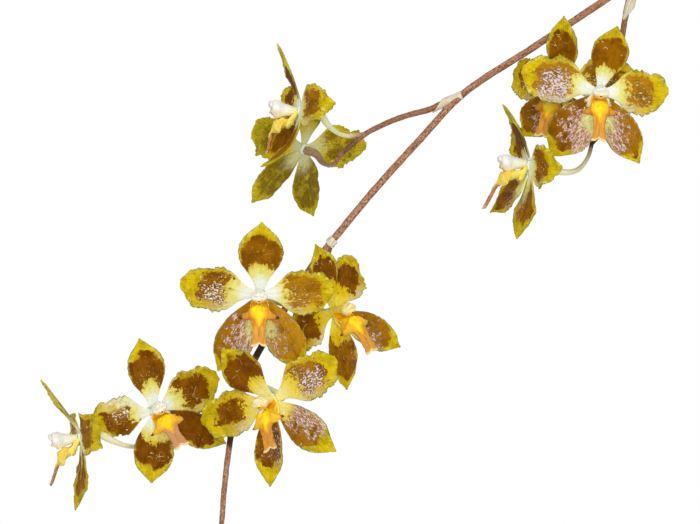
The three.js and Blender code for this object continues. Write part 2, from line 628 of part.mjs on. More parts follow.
// The lip: a narrow blade with two side lobes, its base swollen into the callus
function lipGeometry(bloom) {
  return bladeSolid({ ...LIP_BLADE, ...bloom.lip }, LIP_STATIONS, LIP_ACROSS);
}

// The column: a horn that widens to two wings and ends in a rounded cap
function columnGeometry({ drop = 0 } = {}) {
  const { start, length } = COLUMN;
  const sections = [
    [0, 0.4, 0.8, 0.75], [0.45, 0.5, 0.95, 1], [0.83, 0.5, 1.75, 1.6],
    [0.95, 0.6, 1.5, 1.4], [1, 0.75, 0.8, 0.9],
  ];
  const turns = [0.5, 1.5, 2.5, 3.5, 4.5, 5.5].map((k) => (k * Math.PI) / 3);
  return loft(sections.map(([share, middle, halfWidth, halfHeight]) => turns.map((turn) => (
    new THREE.Vector3(
      halfWidth * Math.cos(turn),
      middle - drop + halfHeight * Math.sin(turn),
      start + share * length,
    )
  ))));
}

// Buds: pointed eggs
function budGeometry(base, tip) {
  const axis = tip.clone().sub(base);
  const up = new THREE.Vector3(0, 0, 1);
  const turn = new THREE.Quaternion().setFromUnitVectors(up, axis.clone().normalize());
  const sections = [[0, 0.3], [0.18, 0.75], [0.42, 1], [0.7, 0.82], [0.9, 0.4], [1, 0.1]];
  const sides = 6;
  return loft(sections.map(([share, size]) => Array.from({ length: sides }, (_, k) => {
    const angle = (2 * Math.PI * k) / sides;
    const radius = (size * BUD_WIDTH) / 2;
    return new THREE.Vector3(radius * Math.cos(angle), radius * Math.sin(angle), share * axis.length())
      .applyQuaternion(turn)
      .add(base);
  })));
}

// The whole plant
const plant = new THREE.Group();
const frames = {};

BLOOMS.forEach((bloom) => {
  const group = new THREE.Group();
  group.position.copy(seen(...bloom.at));
  group.quaternion.copy(bloomTurn(bloom));
  const facing = new THREE.Vector3(0, 0, 1).applyQuaternion(group.quaternion);
  frames[bloom.name] = { middle: group.position.clone(), facing };
  group.add(
    namedMesh(`${bloom.name}_tepals`, tepalsGeometry(bloom), MATERIALS.tepal),
    namedMesh(`${bloom.name}_lip`, lipGeometry(bloom), MATERIALS.lip),
    namedMesh(`${bloom.name}_column`, columnGeometry(bloom.column), MATERIALS.column),
  );
  plant.add(group);
});

plant.add(namedMesh('flower_stem', stemGeometry(frames), MATERIALS.stem));

BUDS.forEach(([, base, tip], k) => {
  plant.add(namedMesh(`bud_${k + 1}`, budGeometry(base, tip), MATERIALS.bud));
});

BULBS.forEach((bulb) => {
  const mesh = namedMesh(bulb.name, bulbGeometry(bulb), MATERIALS.bulb);
  mesh.position.set(...bulb.at);
  plant.add(mesh);
});

LEAVES.forEach((leaf, k) => {
  plant.add(leafMesh(`leaf_${k + 1}`, leaf, leafFoot(BULBS[leaf.bulb], leaf.side)));
});
SHEATH_LEAVES.forEach((leaf, k) => {
  plant.add(leafMesh(`sheath_leaf_${k + 1}`, leaf, new THREE.Vector3(...leaf.at)));
});

// The creeping rhizome and its roots, and the hollows that all of it needs in the bark
function drawnOut(points, by) {
  const away = (end, next) => end.clone().sub(next).setLength(by).add(end);
  return [away(points[0], points[1]), ...points.slice(1, -1), away(points.at(-1), points.at(-2))];
}

function rhizomeGeometry(grow) {
  const grown = (points, radii, sides, steps) => {
    const path = points.map((point) => new THREE.Vector3(...point));
    return tube(drawnOut(path, grow), radii.map((radius) => radius + grow), sides, steps);
  };
  const roots = ROOTS.map((points) => grown(points, [1.4, 1.3, 1.1], 5, 6));
  return fuse([grown(RHIZOME, [2.2, 2.6, 2.4, 2], 6, 7), ...roots]);
}

plant.add(namedMesh('rhizome_and_roots', rhizomeGeometry(0), MATERIALS.root));
const stemHole = STEM.foot + 2 * GAP;
const hollows = [
  rhizomeGeometry(GAP),
  tube(drawnOut(PEDUNCLE.slice(0, 3), GAP), [stemHole, stemHole], 8, 6),
  ...BULBS.map((bulb) => bulbGeometry(bulb, GAP * 2).translate(...bulb.at)),
  ...SHEATH_LEAVES.map(leafHollow),
];
plant.add(namedMesh('bark_mix', bark(hollows), MATERIALS.bark));
plant.add(namedMesh('pot', pot(), MATERIALS.clay));

export default plant;
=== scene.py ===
"""The looks of the potted orchid: blooms, flower stem, leaves, pseudobulbs, roots, bark and clay pot.

Shapes are worked out in millimetres and turned into metres as each piece is made. The blooms, the stem
and the leaves follow the same values as the part's solids. Each piece replaces its solids, apart from the
bracts and the dry sheaths, which only lie on other pieces.
"""
import math

import bpy
import numpy as np
from mathutils import Matrix, Vector


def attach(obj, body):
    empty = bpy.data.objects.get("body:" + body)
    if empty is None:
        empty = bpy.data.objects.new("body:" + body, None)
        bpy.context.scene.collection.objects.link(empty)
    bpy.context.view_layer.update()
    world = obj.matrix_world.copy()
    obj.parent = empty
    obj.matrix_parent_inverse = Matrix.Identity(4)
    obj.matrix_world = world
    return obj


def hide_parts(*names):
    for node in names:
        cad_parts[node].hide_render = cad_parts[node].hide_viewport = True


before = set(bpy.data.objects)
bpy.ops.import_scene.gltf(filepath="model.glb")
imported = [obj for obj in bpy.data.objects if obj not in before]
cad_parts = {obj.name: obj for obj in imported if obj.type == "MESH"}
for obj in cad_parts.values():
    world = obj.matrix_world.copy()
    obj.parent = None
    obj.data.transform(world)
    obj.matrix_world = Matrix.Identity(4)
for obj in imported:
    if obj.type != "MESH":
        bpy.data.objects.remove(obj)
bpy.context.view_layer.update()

MM = 0.001
TURN = 2 * math.pi
GOLDEN_TURN = 2.39996


# The part's driving values, in millimetres and degrees
POT = dict(foot=36, shoulder=45.5, rim=51, height=88, collar=20, wall=5, floor=6, bevel=1.5)
DRAIN = dict(count=3, radius=4.5, circle=17)
BARK_TOP = 74.5
BLADE = 0.6
LEAF_THICKNESS = 0.9
STEM_RADII = [1.7, 1.6, 1.45, 1.3, 1.15, 0.95, 0.78, 0.78, 0.5]
BRANCH_RADII = [0.72, 0.66, 0.6, 0.55]
HUB = dict(front=0.45, back=-1.1)
COLUMN = dict(start=0.85, length=6.1)
OVARY = dict(radius=0.95, straight=3.2)

# Where the spray stands: a pixel of the photograph, 700 wide and 524 high, and a depth behind the stem
PHOTO_WIDTH = 700
VIEW = dict(left=-250, top=360, mm_per_pixel=0.22, distance=700, middle=(350, 262))


def seen(px, py, depth=0):
    """The point in millimetres that shows at a pixel of the photograph."""
    middle_x, middle_y = VIEW["middle"]
    pixel = VIEW["mm_per_pixel"]
    spread = pixel * (1 + depth / VIEW["distance"])
    x = VIEW["left"] + middle_x * pixel + (px - middle_x) * spread
    z = VIEW["top"] - middle_y * pixel - (py - middle_y) * spread
    return np.array([x, depth, z], float)


def path(*pixels):
    return [seen(*pixel) for pixel in pixels]


# Outlines: the half width of a blade as a share of its greatest, from the base to the tip, evenly spaced
SEPAL = [0.2, 0.4, 0.61, 0.8, 0.93, 0.99, 1.0, 0.92, 0.72, 0.37, 0.04]
CLAWED = [0.2, 0.3, 0.45, 0.66, 0.87, 0.98, 1.0, 0.93, 0.72, 0.37, 0.04]
PETAL = [0.18, 0.25, 0.42, 0.72, 0.94, 1.0, 1.0, 0.96, 0.85, 0.57, 0.14]
NOTCHED = [0.18, 0.28, 0.5, 0.8, 0.98, 1.0, 0.91, 0.79, 0.81, 0.59, 0.16]
POINTED = [0.2, 0.38, 0.66, 0.9, 1.0, 1.0, 0.92, 0.75, 0.52, 0.29, 0.06]
FINE_LIP = [
    0.36, 0.37, 0.39, 0.42, 0.44, 0.47, 0.54, 0.74, 1.0, 0.64, 0.46, 0.39, 0.35, 0.32, 0.31, 0.31, 0.31, 0.33,
    0.35, 0.38, 0.4,
]
LIP_FOOT = [0.5, 0.8, 0.95, 0.9, 0.8]
STRAP = [
    0.2, 0.45, 0.55, 0.64, 0.72, 0.8, 0.86, 0.91, 0.95, 0.98, 1.0, 1.01, 1.0, 0.98, 0.94, 0.88, 0.8, 0.68,
    0.52, 0.3, 0.06,
]

# What a blade is when nothing else is said. It starts a little way out and bends between two shares of its
# length. Rough and crimp are the fine unevenness of its margin, groove its midrib.
PLAIN_BLADE = dict(
    start=1.1, rise=0, angle=0, lift=0, curl=0, cup=0, twist=0, bend=(0, 1), phase=0, ruffle=0, rough=0,
    crimp=0, groove=0, notch=0, droop=0,
)

# A tepal is a blade with a marking: where its blotch starts (foot) and ends (head), how far it reaches to
# the sides and is shifted, how mottled its edge is, which side lies inwards (lean), how many painted glints
# (pale dots and streaks of painted highlight) it has and whether they are streaks, how pale the inner corner
# is, how golden (or, below zero, how dark) its brown is, and whether it lacks (bare) the pale inner patch
SIDE_PETAL = dict(
    length=16.5, width=9.8, lift=-4, curl=-12, cup=6, ruffle=0.8, rough=0.065, crimp=0.44, groove=0.1,
    foot=0.37, head=0.8, reach=0.8, mottle=1, streaky=0, corner=1, bare=0, shift=0,
)
SIDE_SEPAL = dict(
    outline=(SEPAL, SEPAL), length=18.1, width=8.4, lift=12, curl=-16, cup=8, ruffle=0.35, rough=0.02,
    crimp=0.18, groove=0.1, foot=0.2, reach=1.04, mottle=0.4, streaky=1, corner=0.2, bare=0, shift=0,
)
TEPALS = dict(
    dorsal=dict(
        outline=(CLAWED, CLAWED), angle=90, length=16.5, width=9.2, lift=14, curl=-6, cup=14, ruffle=0.3,
        phase=0.4, rough=0.02, crimp=0.18, groove=0.1, foot=0.4, head=0.82, reach=1.02, mottle=0.25, lean=0,
        fleck=0.06, streaky=0, corner=0, gold=0.05, bare=0, shift=0,
    ),
    petal_right=dict(SIDE_PETAL, outline=(PETAL, NOTCHED), angle=6, phase=1.2, lean=-1, fleck=0.7, gold=0.3),
    petal_left=dict(
        SIDE_PETAL, outline=(NOTCHED, PETAL), angle=174, phase=2.9, lean=1, fleck=0.85, gold=0.25,
    ),
    sepal_right=dict(SIDE_SEPAL, angle=-60, phase=2.1, head=0.86, lean=-1, fleck=0.7, gold=0.3),
    sepal_left=dict(SIDE_SEPAL, angle=-120, phase=0.9, head=0.88, lean=1, fleck=0.85, gold=0.15),
)
LIP = dict(
    outline=(FINE_LIP, FINE_LIP), angle=-90, length=14, width=8.8, lift=72, curl=-50, bend=(0.36, 0.6),
    cup=10, start=2, rise=1.2, rough=0.03, crimp=0.24, notch=0.05, droop=1.1,
)
CALLUS = 1.5


def tepal(angle, length, **more):
    """What one bloom's own tepal has. Its angle includes the bloom's roll."""
    return dict(angle=angle, length=length, **more)


# Each bloom: where it is, how it is turned, the points that its stalk passes, how rosy and how golden (which,
# when high, also paints light glowing through the lip) and yellow (tone) it is, how far its column drops and
# how thick (girth) that is, how pale its stalk is, and what its own tepals and lip have
PLAIN_BLOOM = dict(rosy=0, golden_and_glow=0, tone=0, drop=0, girth=1, stalk_pale=0.95, lip={})
BLOOMS = [
    dict(
        at=(155, 411.5, -6), yaw=18, nod=0, roll=27, rosy=0.8, golden_and_glow=0.5, drop=-0.5,
        stalk=path((172, 428, 1.6), (163, 424, -1)),
        dorsal=tepal(104, 16.6, lift=10, width=8.4, gold=-0.2, fleck=0.4, foot=0.36),
        petal_right=tepal(27, 17, gold=-0.1, fleck=0.25),
        petal_left=tepal(187, 13.9, width=8.6, lean=-1, fleck=0.8, foot=0.36, gold=0, shift=-0.3, corner=5),
        sepal_right=tepal(-24, 18.1, width=7.4, lift=3, gold=-0.5, fleck=0.2, streaky=0, bare=1),
        sepal_left=tepal(-94, 15.6, width=9, foot=0.4, head=0.8, fleck=0.25, streaky=0, gold=-0.45, bare=1),
        lip=dict(lift=78, length=12.9),
    ),
    dict(
        at=(81, 437.4, -12), yaw=-82, nod=7, roll=0, rosy=1, golden_and_glow=1, drop=0.55, girth=1.25,
        stalk=path((155, 440, 1), (143, 445.5, -3), (128, 446, -7), (113, 441, -10)),
        dorsal=tepal(90, 15.3, lift=30, curl=0, width=8, foot=0.15, head=0.6, reach=0.8, gold=0.5),
        petal_right=tepal(8, 14, width=9, lift=0, curl=-34, ruffle=1.2, fleck=0.1, foot=0.24, gold=0.2),
        petal_left=tepal(170, 13.5, lift=4, curl=4, width=7),
        sepal_right=tepal(
            -76, 16.1, lift=-2, curl=30, twist=-28, fleck=0.2, gold=0.1, reach=0.8, head=0.74, bare=1,
        ),
        sepal_left=tepal(-106, 14.4, lift=2, curl=16, fleck=0.2, gold=0.1, reach=0.8, head=0.74, bare=1),
        lip=dict(lift=60, curl=-34, length=12.4, start=2.4),
    ),
    dict(
        at=(259.8, 295, -10), yaw=0, nod=9, roll=0, stalk=path((288, 305, 1), (278, 303, 1.2)),
        dorsal=tepal(88, 16.7, width=9.8),
        petal_right=tepal(3, 16.5, gold=0.5, fleck=0.5),
        petal_left=tepal(173, 17.8, gold=0.1),
        sepal_right=tepal(-60, 18.8, gold=0.7, fleck=0.55, foot=0.06),
        sepal_left=tepal(-119, 19, gold=0.35, fleck=1.2, foot=0.06),
    ),
    dict(
        at=(334, 311.5, 1), yaw=38, nod=-1, roll=21, tone=1, golden_and_glow=0.5,
        stalk=path((318, 282, 5.4), (316, 296, 6.6)),
        dorsal=tepal(116, 16.6, width=7.4, gold=-0.2),
        petal_right=tepal(58, 14.3, gold=-0.2, fleck=0.1),
        petal_left=tepal(206, 13.5, gold=-0.1, fleck=0.15),
        sepal_right=tepal(-27, 18.1, lift=16, curl=-8, width=7.6),
        sepal_left=tepal(-82, 17.5, width=7.6, foot=0.38, fleck=0.3, bare=1),
    ),
    dict(
        at=(273, 400.5, -15.5), yaw=-27, nod=9, roll=16, tone=0.7, golden_and_glow=0.7,
        stalk=path((246, 378, 0.2), (252, 380, -2)),
        dorsal=tepal(131, 15.7, width=9.2, gold=-0.4),
        petal_right=tepal(31, 17.3, fleck=1.05),
        petal_left=tepal(196, 19.3, lift=4, head=0.74, reach=0.58, mottle=1.2, fleck=0.15, gold=0),
        sepal_right=tepal(-35, 18.4, foot=0.32, head=0.74, lean=1, fleck=0.9, bare=1),
        sepal_left=tepal(-95, 18.9, width=6.6, cup=34, twist=-20, head=0.76, fleck=0.5, bare=1, gold=-0.1),
        lip=dict(angle=-84),
    ),
    dict(
        at=(300.2, 111, -10), yaw=-82, nod=-6, roll=0, rosy=0.3, golden_and_glow=1, drop=0.65, girth=1.3,
        stalk=path((365.5, 134, 0.8), (357, 135.2, 0), (348, 136, -2), (338, 133, -5), (328, 125, -8)),
        dorsal=tepal(90, 15.5, lift=21, curl=12, width=6.6, foot=0.2, head=0.66, gold=-0.5),
        petal_right=tepal(
            7, 15.5, outline=(POINTED, POINTED), width=9.2, lift=4, curl=-57, fleck=0.3, head=0.7, reach=0.72,
        ),
        petal_left=tepal(164, 10, lift=18, curl=8, width=8.6, fleck=0.1, gold=-0.2),
        sepal_right=tepal(-68, 17.1, lift=1, curl=60, width=8, twist=-30, fleck=0.3, reach=0.8, bare=1),
        sepal_left=tepal(-122, 13.2, lift=11, curl=30, width=8, twist=-20, fleck=0.15, reach=0.8, bare=1),
        lip=dict(lift=66, curl=-60, length=12.6, start=2.9),
    ),
    dict(
        at=(303, 149, 11), yaw=-130, nod=-18, roll=0, stalk_pale=0.15,
        stalk=path((338, 157, 0), (336, 162.5, 1.5), (329.5, 165, 4), (322, 162, 6.4)),
        dorsal=tepal(90, 14.5, lift=-2, curl=-4),
        petal_right=tepal(12, 19.4, lift=4, ruffle=1.2),
        petal_left=tepal(170, 16.3, lift=-14, ruffle=1.1),
        sepal_right=tepal(-61, 16.7, lift=24),
        sepal_left=tepal(-124, 19.3),
    ),
    dict(
        at=(598.9, 92.5, -13), yaw=0, nod=8, roll=-4,
        stalk=path((600, 134, 5.6), (599, 125, -1), (598.5, 109, -6.5)),
        dorsal=tepal(76, 15.2, width=8),
        petal_right=tepal(0, 15.5, gold=0.5, fleck=0.5),
        petal_left=tepal(164, 17.5, width=10.2, fleck=1.15, gold=0.5, foot=0.33),
        sepal_right=tepal(-60, 17.7, width=7.6, fleck=1),
        sepal_left=tepal(-127, 17.3, width=10, gold=0.1, fleck=1.2, foot=0.14),
        lip=dict(width=8),
    ),
    dict(
        at=(529.5, 165.7, -8), yaw=-82, nod=0, roll=0, rosy=0.6, golden_and_glow=0.9, girth=1.3,
        stalk=path((592, 143, 4), (588, 157, 1), (577, 170, -4), (562, 172, -7)),
        dorsal=tepal(90, 14.7, lift=14, curl=24, width=7.2, foot=0.2, head=0.68, gold=-0.5),
        petal_right=tepal(
            -3, 14, outline=(POINTED, POINTED), lift=-2, curl=-38, width=9.2, fleck=0.4, mottle=0.7,
            head=0.68, gold=0.1,
        ),
        petal_left=tepal(140, 12.2, lift=7, curl=8, width=8.6, fleck=0.1, gold=-0.3),
        sepal_right=tepal(
            -78, 16.8, lift=1, curl=24, width=9, twist=-32, fleck=0.4, gold=0.2, foot=0.3, head=0.78,
            reach=0.78,
        ),
        sepal_left=tepal(-124, 14.5, lift=20, curl=28, fleck=0.5, foot=0.3, reach=0.85),
        lip=dict(lift=74, curl=-46, length=14.3),
    ),
    dict(
        at=(562, 91, -1), yaw=-25, nod=6, roll=0, stalk=path((614, 90, 6), (600, 85, 7.4), (584, 86, 5.6)),
        dorsal=tepal(82, 16.9, width=7.4),
        petal_right=tepal(13, 16.3, lift=-16),
        petal_left=tepal(160, 13.1),
        sepal_right=tepal(-66, 12.5),
        sepal_left=tepal(-134, 13.5),
        lip=dict(angle=-100),
    ),
    dict(at=(818, 46, -6), yaw=22, nod=12, roll=-8, stalk=path((838, 48, 7), (829, 49, 3))),
    dict(at=(872, 118, 6), yaw=104, nod=6, roll=6, stalk=path((850, 74, 7), (848, 92, 8), (848, 110, 8))),
    dict(
        at=(186, 640, -6), yaw=-32, nod=14, roll=4, stalk=path((198, 602, 2.5), (199, 618, 3)),
        dorsal=dict(length=15),
    ),
]

# The flower stem: its foot in the bark, then the arch, then what hangs
PEDUNCLE = [
    (31, -6, 62), (32, -7, 90), (34.5, -8, 140), (37.5, -8, 195), (39, -7, 245), (36, -5.5, 290),
    (25, -4, 328), (5, -2.5, 356), (-24, -1, 372.5), (-58, 0, 376.5), (-88, 0, 371.5),
]
RACHIS = path(
    (640, -24), (605, 0), (534, 47), (463, 94), (421, 138.4), (373.5, 191), (331, 242.5), (310, 269, 0.6),
    (285, 309, 1), (261, 347.5, 0.6), (239, 393.5), (230, 441.6), (224.2, 489.4), (221, 530),
    (215, 572, -0.5), (206, 610, -1), (199, 645, -1),
)
BRANCHES = [
    path((638, -24), (629, 0, 1.5), (622, 38, 3), (614, 90, 6), (604, 128, 6.5), (592, 143, 4)),
    path((463, 94), (448, 101, 0.4), (429, 109.5, 0.8), (402, 117, 0.8), (374, 129, 0.6), (365.5, 134, 0.8),
         (352, 144.5, 0.6), (338, 157, 0)),
    path((331, 242.5), (325, 262, 2.6), (318, 282, 5.4)),
    path((239, 393.5), (215, 403, 0.6), (192, 414, 1.2), (172, 428, 1.6), (155, 440, 1)),
    [(-64, 0, 376.5), *path((822, -30, 2), (826, 10, 5), (838, 48, 7), (850, 74, 7))],
    path((215, 572, -0.5), (205, 585, 1), (198, 602, 2.5)),
]
# Each bud: where its stalk leaves the stem, its base and its tip
BUDS = [
    path((199, 645, -1), (190, 668, 0), (179, 693, 0.5)),
    path((199, 645, -1), (205, 672, -2.5), (208, 700, -3.5)),
    path((221, 530, 0), (236, 556, 3), (243, 586, 4.5)),
    path((206, 610, -1), (222, 628, -4), (232, 652, -6)),
]
BUD_WIDTH = 4
# Stretches of the stem darkened with painted shadow: pixel, depth, reach in millimetres and strength
STEM_SHADOWS = [
    (262, 346, 0.6, 3.2, 1), (250, 371, 0.3, 4, 1), (239, 393.5, 0, 4, 0.9), (232, 430, 0, 4, 1),
    (463, 97, 0, 1.4, 0.6), (350, 147, 0.3, 3, 0.5), (600, 134, 6, 2.6, 1), (592, 143, 4, 2.2, 0.7),
    (155, 440, 1, 1.8, 0.6), (172, 428, 1.6, 2, 0.7), (318, 282, 5.4, 3, 0.8),
]
# Each bract: its radius and the stretch of stem that it wraps
BRACTS = [
    (0.85, path((462, 95), (448, 101, 0.4), (431, 108.6, 0.8))),
    (1.05, path((334.5, 239), (331.5, 242), (328.5, 245.5))),
    (1.0, path((638, -20, 0.3), (631, 0, 1.5), (627, 20, 2.3))),
    (1.15, path((245, 381), (239, 393.5), (236, 407))),
]

BULBS = [
    dict(name="pseudobulb_old", at=(-27, 7, 74.5), height=40, width=23, depth=14, turn=6, lean=-7),
    dict(name="pseudobulb_middle", at=(-4, 2, 75), height=46, width=26, depth=15, turn=-4, lean=-2),
    dict(name="pseudobulb_lead", at=(17, -3, 75), height=43, width=22, depth=13.5, turn=8, lean=5),
]
BULB_PROFILE = [0.42, 0.78, 0.97, 1.0, 0.9, 0.7, 0.46, 0.24]
BULB_DOME = 3
PLAIN_LEAF = dict(outline=(STRAP, STRAP), start=0, cup=34, rough=0.006, crimp=0.25, groove=0.55)
# Two leaves stand on each pseudobulb, on its left (-1) and right (1), and two come up through the bark
LEAVES = [
    dict(bulb=0, side=-1, heading=168, length=138, width=17, lift=66, curl=-84, twist=14),
    dict(bulb=0, side=1, heading=118, length=128, width=16, lift=74, curl=-78, twist=-12),
    dict(bulb=1, side=-1, heading=196, length=158, width=19, lift=74, curl=-96, twist=-10),
    dict(bulb=1, side=1, heading=52, length=162, width=19, lift=76, curl=-88, twist=12),
    dict(bulb=2, side=-1, heading=238, length=140, width=18, lift=78, curl=-100, twist=10),
    dict(bulb=2, side=1, heading=14, length=166, width=18, lift=72, curl=-92, twist=-14),
]
SHEATH_LEAVES = [
    dict(at=(4.4, -12, 72.6), heading=262, length=112, width=14, lift=76, curl=-92, twist=16),
    dict(at=(33.5, -4, 72.6), heading=36, length=116, width=14, lift=72, curl=-84, twist=-16),
]
# A leaf's foot, from the middle of a pseudobulb's top: sideways, up, and how much lower than the solid's
LEAF_SEAT = dict(side=2.2, lift=0.5, deeper=0.9)
# Each dry sheath: its pseudobulb, heading, half spread in degrees, and height as a share of the pseudobulb's
DRY_SHEATHS = [
    (0, -82, 84, 0.74), (0, 100, 70, 0.8), (1, -104, 76, 0.5), (1, 84, 72, 0.6), (2, -66, 74, 0.36),
    (2, 104, 62, 0.4),
]
RHIZOME = [(-38, 8, 71.5), (-27, 6, 71.4), (-4, 1, 71.4), (17, -4, 71.4), (27, -6, 70.5)]
ROOTS = [
    [(-27, 6, 71.4), (-33, -8, 75), (-28, -24, 75), (-21, -32, 68)],
    [(-4, 1, 71.4), (-2, -15, 75), (5, -28, 75), (13, -33, 68)],
    [(17, -4, 71.4), (29, 4, 75), (34, 14, 75), (31, 24, 68)],
    [(-4, 1, 71.4), (-4, 16, 75), (4, 28, 75), (14, 34, 68)],
]


# Small mathematics

def smooth_at(values, t):
    """A smooth curve through evenly spaced values, read at t between 0 and 1."""
    values = np.asarray(values, float)
    last = len(values) - 1
    place = np.clip(t, 0, 1) * last
    i = np.minimum(place.astype(int), last - 1)
    f = place - i
    a, b, c, d = (values[np.clip(i + k, 0, last)] for k in (-1, 0, 1, 2))
    return b + 0.5 * f * (c - a + f * (2 * a - 5 * b + 4 * c - d + f * (3 * (b - c) + d - a)))


def rise(low, high, x):
    """Rises smoothly from 0 at low to 1 at high."""
    f = np.clip((x - low) / (high - low), 0, 1)
    return f * f * (3 - 2 * f)


def fall(low, high, x):
    return 1 - rise(low, high, x)


def bell(x, width, power=2):
    return np.exp(-((x / width) ** power))


def wander(x, seed):
    """A line that wanders between about -1 and 1 without repeating."""
    waves = np.sin(x + 1.7 * seed) + 0.6 * np.sin(2.3 * x + 4.1 * seed) + 0.35 * np.sin(5.1 * x + 2.9 * seed)
    return waves / 1.6


def turned(points, turn, at):
    return points @ np.array(turn).T + np.asarray(at, float)


def about(axis, degrees):
    return Matrix.Rotation(math.radians(degrees), 3, axis)


def unit(vectors):
    return vectors / np.maximum(np.linalg.norm(vectors, axis=-1, keepdims=True), 1e-9)


def stacked(*parts):
    """Numbers or grids of them, joined into one grid of triples."""
    return np.stack(np.broadcast_arrays(*parts), axis=-1)


def circle(count, start=0.0):
    return np.linspace(start, start + TURN, count, endpoint=False)[None, :]


# Gathering a piece's mesh

class Shape:
    """The parts of one piece: points in millimetres, faces, and the values that its material reads."""

    def __init__(self):
        self.points = []
        self.faces = []
        self.values = {}
        self.count = 0

    def add(self, points, faces, **values):
        points = np.asarray(points, float).reshape(-1, 3)
        self.points.append(points)
        for block in faces:
            self.faces.extend((block + self.count).tolist())
        for name, value in values.items():
            filled = np.broadcast_to(np.asarray(value, float).reshape(-1, 3), points.shape)
            self.values.setdefault(name, []).append(filled)
        self.count += len(points)

    def build(self, name, material):
        mesh = bpy.data.meshes.new(name)
        mesh.from_pydata((np.concatenate(self.points) * MM).tolist(), [], self.faces)
        for key, blocks in self.values.items():
            attribute = mesh.attributes.new(key, "FLOAT_VECTOR", "POINT")
            attribute.data.foreach_set("vector", np.concatenate(blocks).ravel())
        mesh.materials.append(MATERIALS[material])
        mesh.polygons.foreach_set("use_smooth", [True] * len(self.faces))
        mesh.update()
        return added(name, mesh)


def added(name, data):
    thing = bpy.data.objects.new(name, data)
    bpy.context.scene.collection.objects.link(thing)
    return thing


def grid_faces(rows, columns, around=False):
    """Quads over a grid of points, counter-clockwise from the side that row x column faces."""
    i = np.arange(rows - 1)[:, None]
    j = np.arange(columns if around else columns - 1)[None, :]
    after = (j + 1) % columns
    corners = (i * columns + j, (i + 1) * columns + j, (i + 1) * columns + after, i * columns + after)
    return stacked(*corners).reshape(-1, 4)


def ring_faces(rows, sides):
    """The side and the two flat ends of a stack of rings."""
    ring = np.arange(sides)[None, :]
    return [grid_faces(rows, sides, around=True)[:, ::-1], ring[:, ::-1], ring + (rows - 1) * sides]


# Blades: sepals, petals, lips and leaves are all one curved sheet, thickened

def blade_points(blade, t, s, seed):
    """The middle sheet, with the fine detail of its margin and midrib, and how far out its points are."""
    blade = {**PLAIN_BLADE, **blade}
    angle, lift, curl, cup, twist = (
        math.radians(blade[key]) for key in ("angle", "lift", "curl", "cup", "twist")
    )
    low, high = blade["bend"]
    rate = (curl if abs(curl) > 1e-4 else 1e-4) / (high - low)
    t = t - blade["notch"] * bell(s, 0.3) * rise(0.85, 1, t)
    pitch = lift + rate * (np.clip(t, low, high) - low)
    before, after = np.minimum(t, low), np.maximum(t - high, 0)
    forward = before * math.cos(lift) + after * np.cos(pitch) + (np.sin(pitch) - math.sin(lift)) / rate
    upward = before * math.sin(lift) + after * np.sin(pitch) + (math.cos(lift) - np.cos(pitch)) / rate
    length = blade["length"] - blade["start"]
    along = blade["start"] + length * forward
    height = blade["rise"] + length * upward
    left, right = blade["outline"]
    share = np.maximum(np.where(s > 0, smooth_at(right, t), smooth_at(left, t)), 0.02)
    side = np.where(s > 0, 1.0, 0.0)
    uneven = wander(26 * t, seed + 3 * side) + 0.6 * wander(71 * t, seed + 7 * side)
    half = blade["width"] / 2 * share * (1 + blade["rough"] * uneven * rise(0.25, 0.5, t))
    hollow = max(abs(cup), 1e-3)
    arc = hollow * s
    across = half * np.sin(arc) / hollow
    margin = rise(0.2, 0.6, t) * fall(0.85, 1, t) * np.abs(s) ** 3
    wave = blade["ruffle"] * margin * np.sin(TURN * 1.8 * t + blade["phase"] + 1.9 * side)
    wave = wave + blade["crimp"] * rise(0.3, 0.6, t) * np.abs(s) ** 6 * wander(31 * t, seed + 11 * side)
    raised = np.sign(cup) * half * (1 - np.cos(arc)) / hollow + wave
    raised = raised - blade["droop"] * s**2 * rise(0.3, 0.42, t) * fall(0.44, 0.54, t)
    raised = raised + blade["droop"] * s**2 * fall(0.18, 0.36, t)
    raised = raised - blade["groove"] * bell(s, 0.09) * rise(0, 0.1, t) * fall(0.9, 1, t)
    turn = twist * t
    sideways = across * np.cos(turn) - raised * np.sin(turn)
    out = across * np.sin(turn) + raised * np.cos(turn)
    run = along - out * np.sin(pitch)
    x = run * math.cos(angle) - sideways * math.sin(angle)
    y = run * math.sin(angle) + sideways * math.cos(angle)
    return stacked(x, y, height + out * np.cos(pitch)), half * s


def closed_sheet(shape, front, back, t, s, flat, back_look=1, **values):
    """Adds two layers of points, joined all round their edge. t counts their rows and s their columns."""
    rows, columns = front.shape[:2]
    count = rows * columns
    face = grid_faces(rows, columns)
    rim = np.concatenate([
        np.arange(columns - 1),
        np.arange(rows - 1) * columns + columns - 1,
        (rows - 1) * columns + np.arange(columns - 1, 0, -1),
        np.arange(rows - 1, 0, -1) * columns,
    ])
    after = np.roll(rim, -1)
    shape.add(
        np.stack([front, back]),
        [face, face[:, ::-1] + count, stacked(rim, after, after + count, rim + count)],
        blade=np.stack([stacked(t, s, 1), stacked(t, s, back_look)]),
        flat=np.stack([stacked(*flat)] * 2),
        **values,
    )


def blade_sheet(shape, blade, place, seed, rows, columns, thickness=BLADE, swell=None, **values):
    """Adds a blade as a closed solid that thins towards its margins. place turns its points into the part."""
    t = np.linspace(0, 1, rows)[:, None]
    s = np.sin(np.linspace(-1, 1, columns) * math.pi / 2)[None, :]
    sheet, across = blade_points(blade, t, s, seed)
    normal = unit(np.cross(np.gradient(sheet, axis=0), np.gradient(sheet, axis=1)))
    half = thickness / 2 * (0.3 + 0.7 * (1 - np.abs(s) ** 4)) * (1 - 0.5 * rise(0.9, 1, t))
    swollen = half + (swell(t, s) if swell else 0)
    front = place(sheet + normal * swollen[..., None])
    back = place(sheet - normal * half[..., None])
    closed_sheet(shape, front, back, t, s, (t * blade["length"], across, seed), back_look=0, **values)


# Tubes

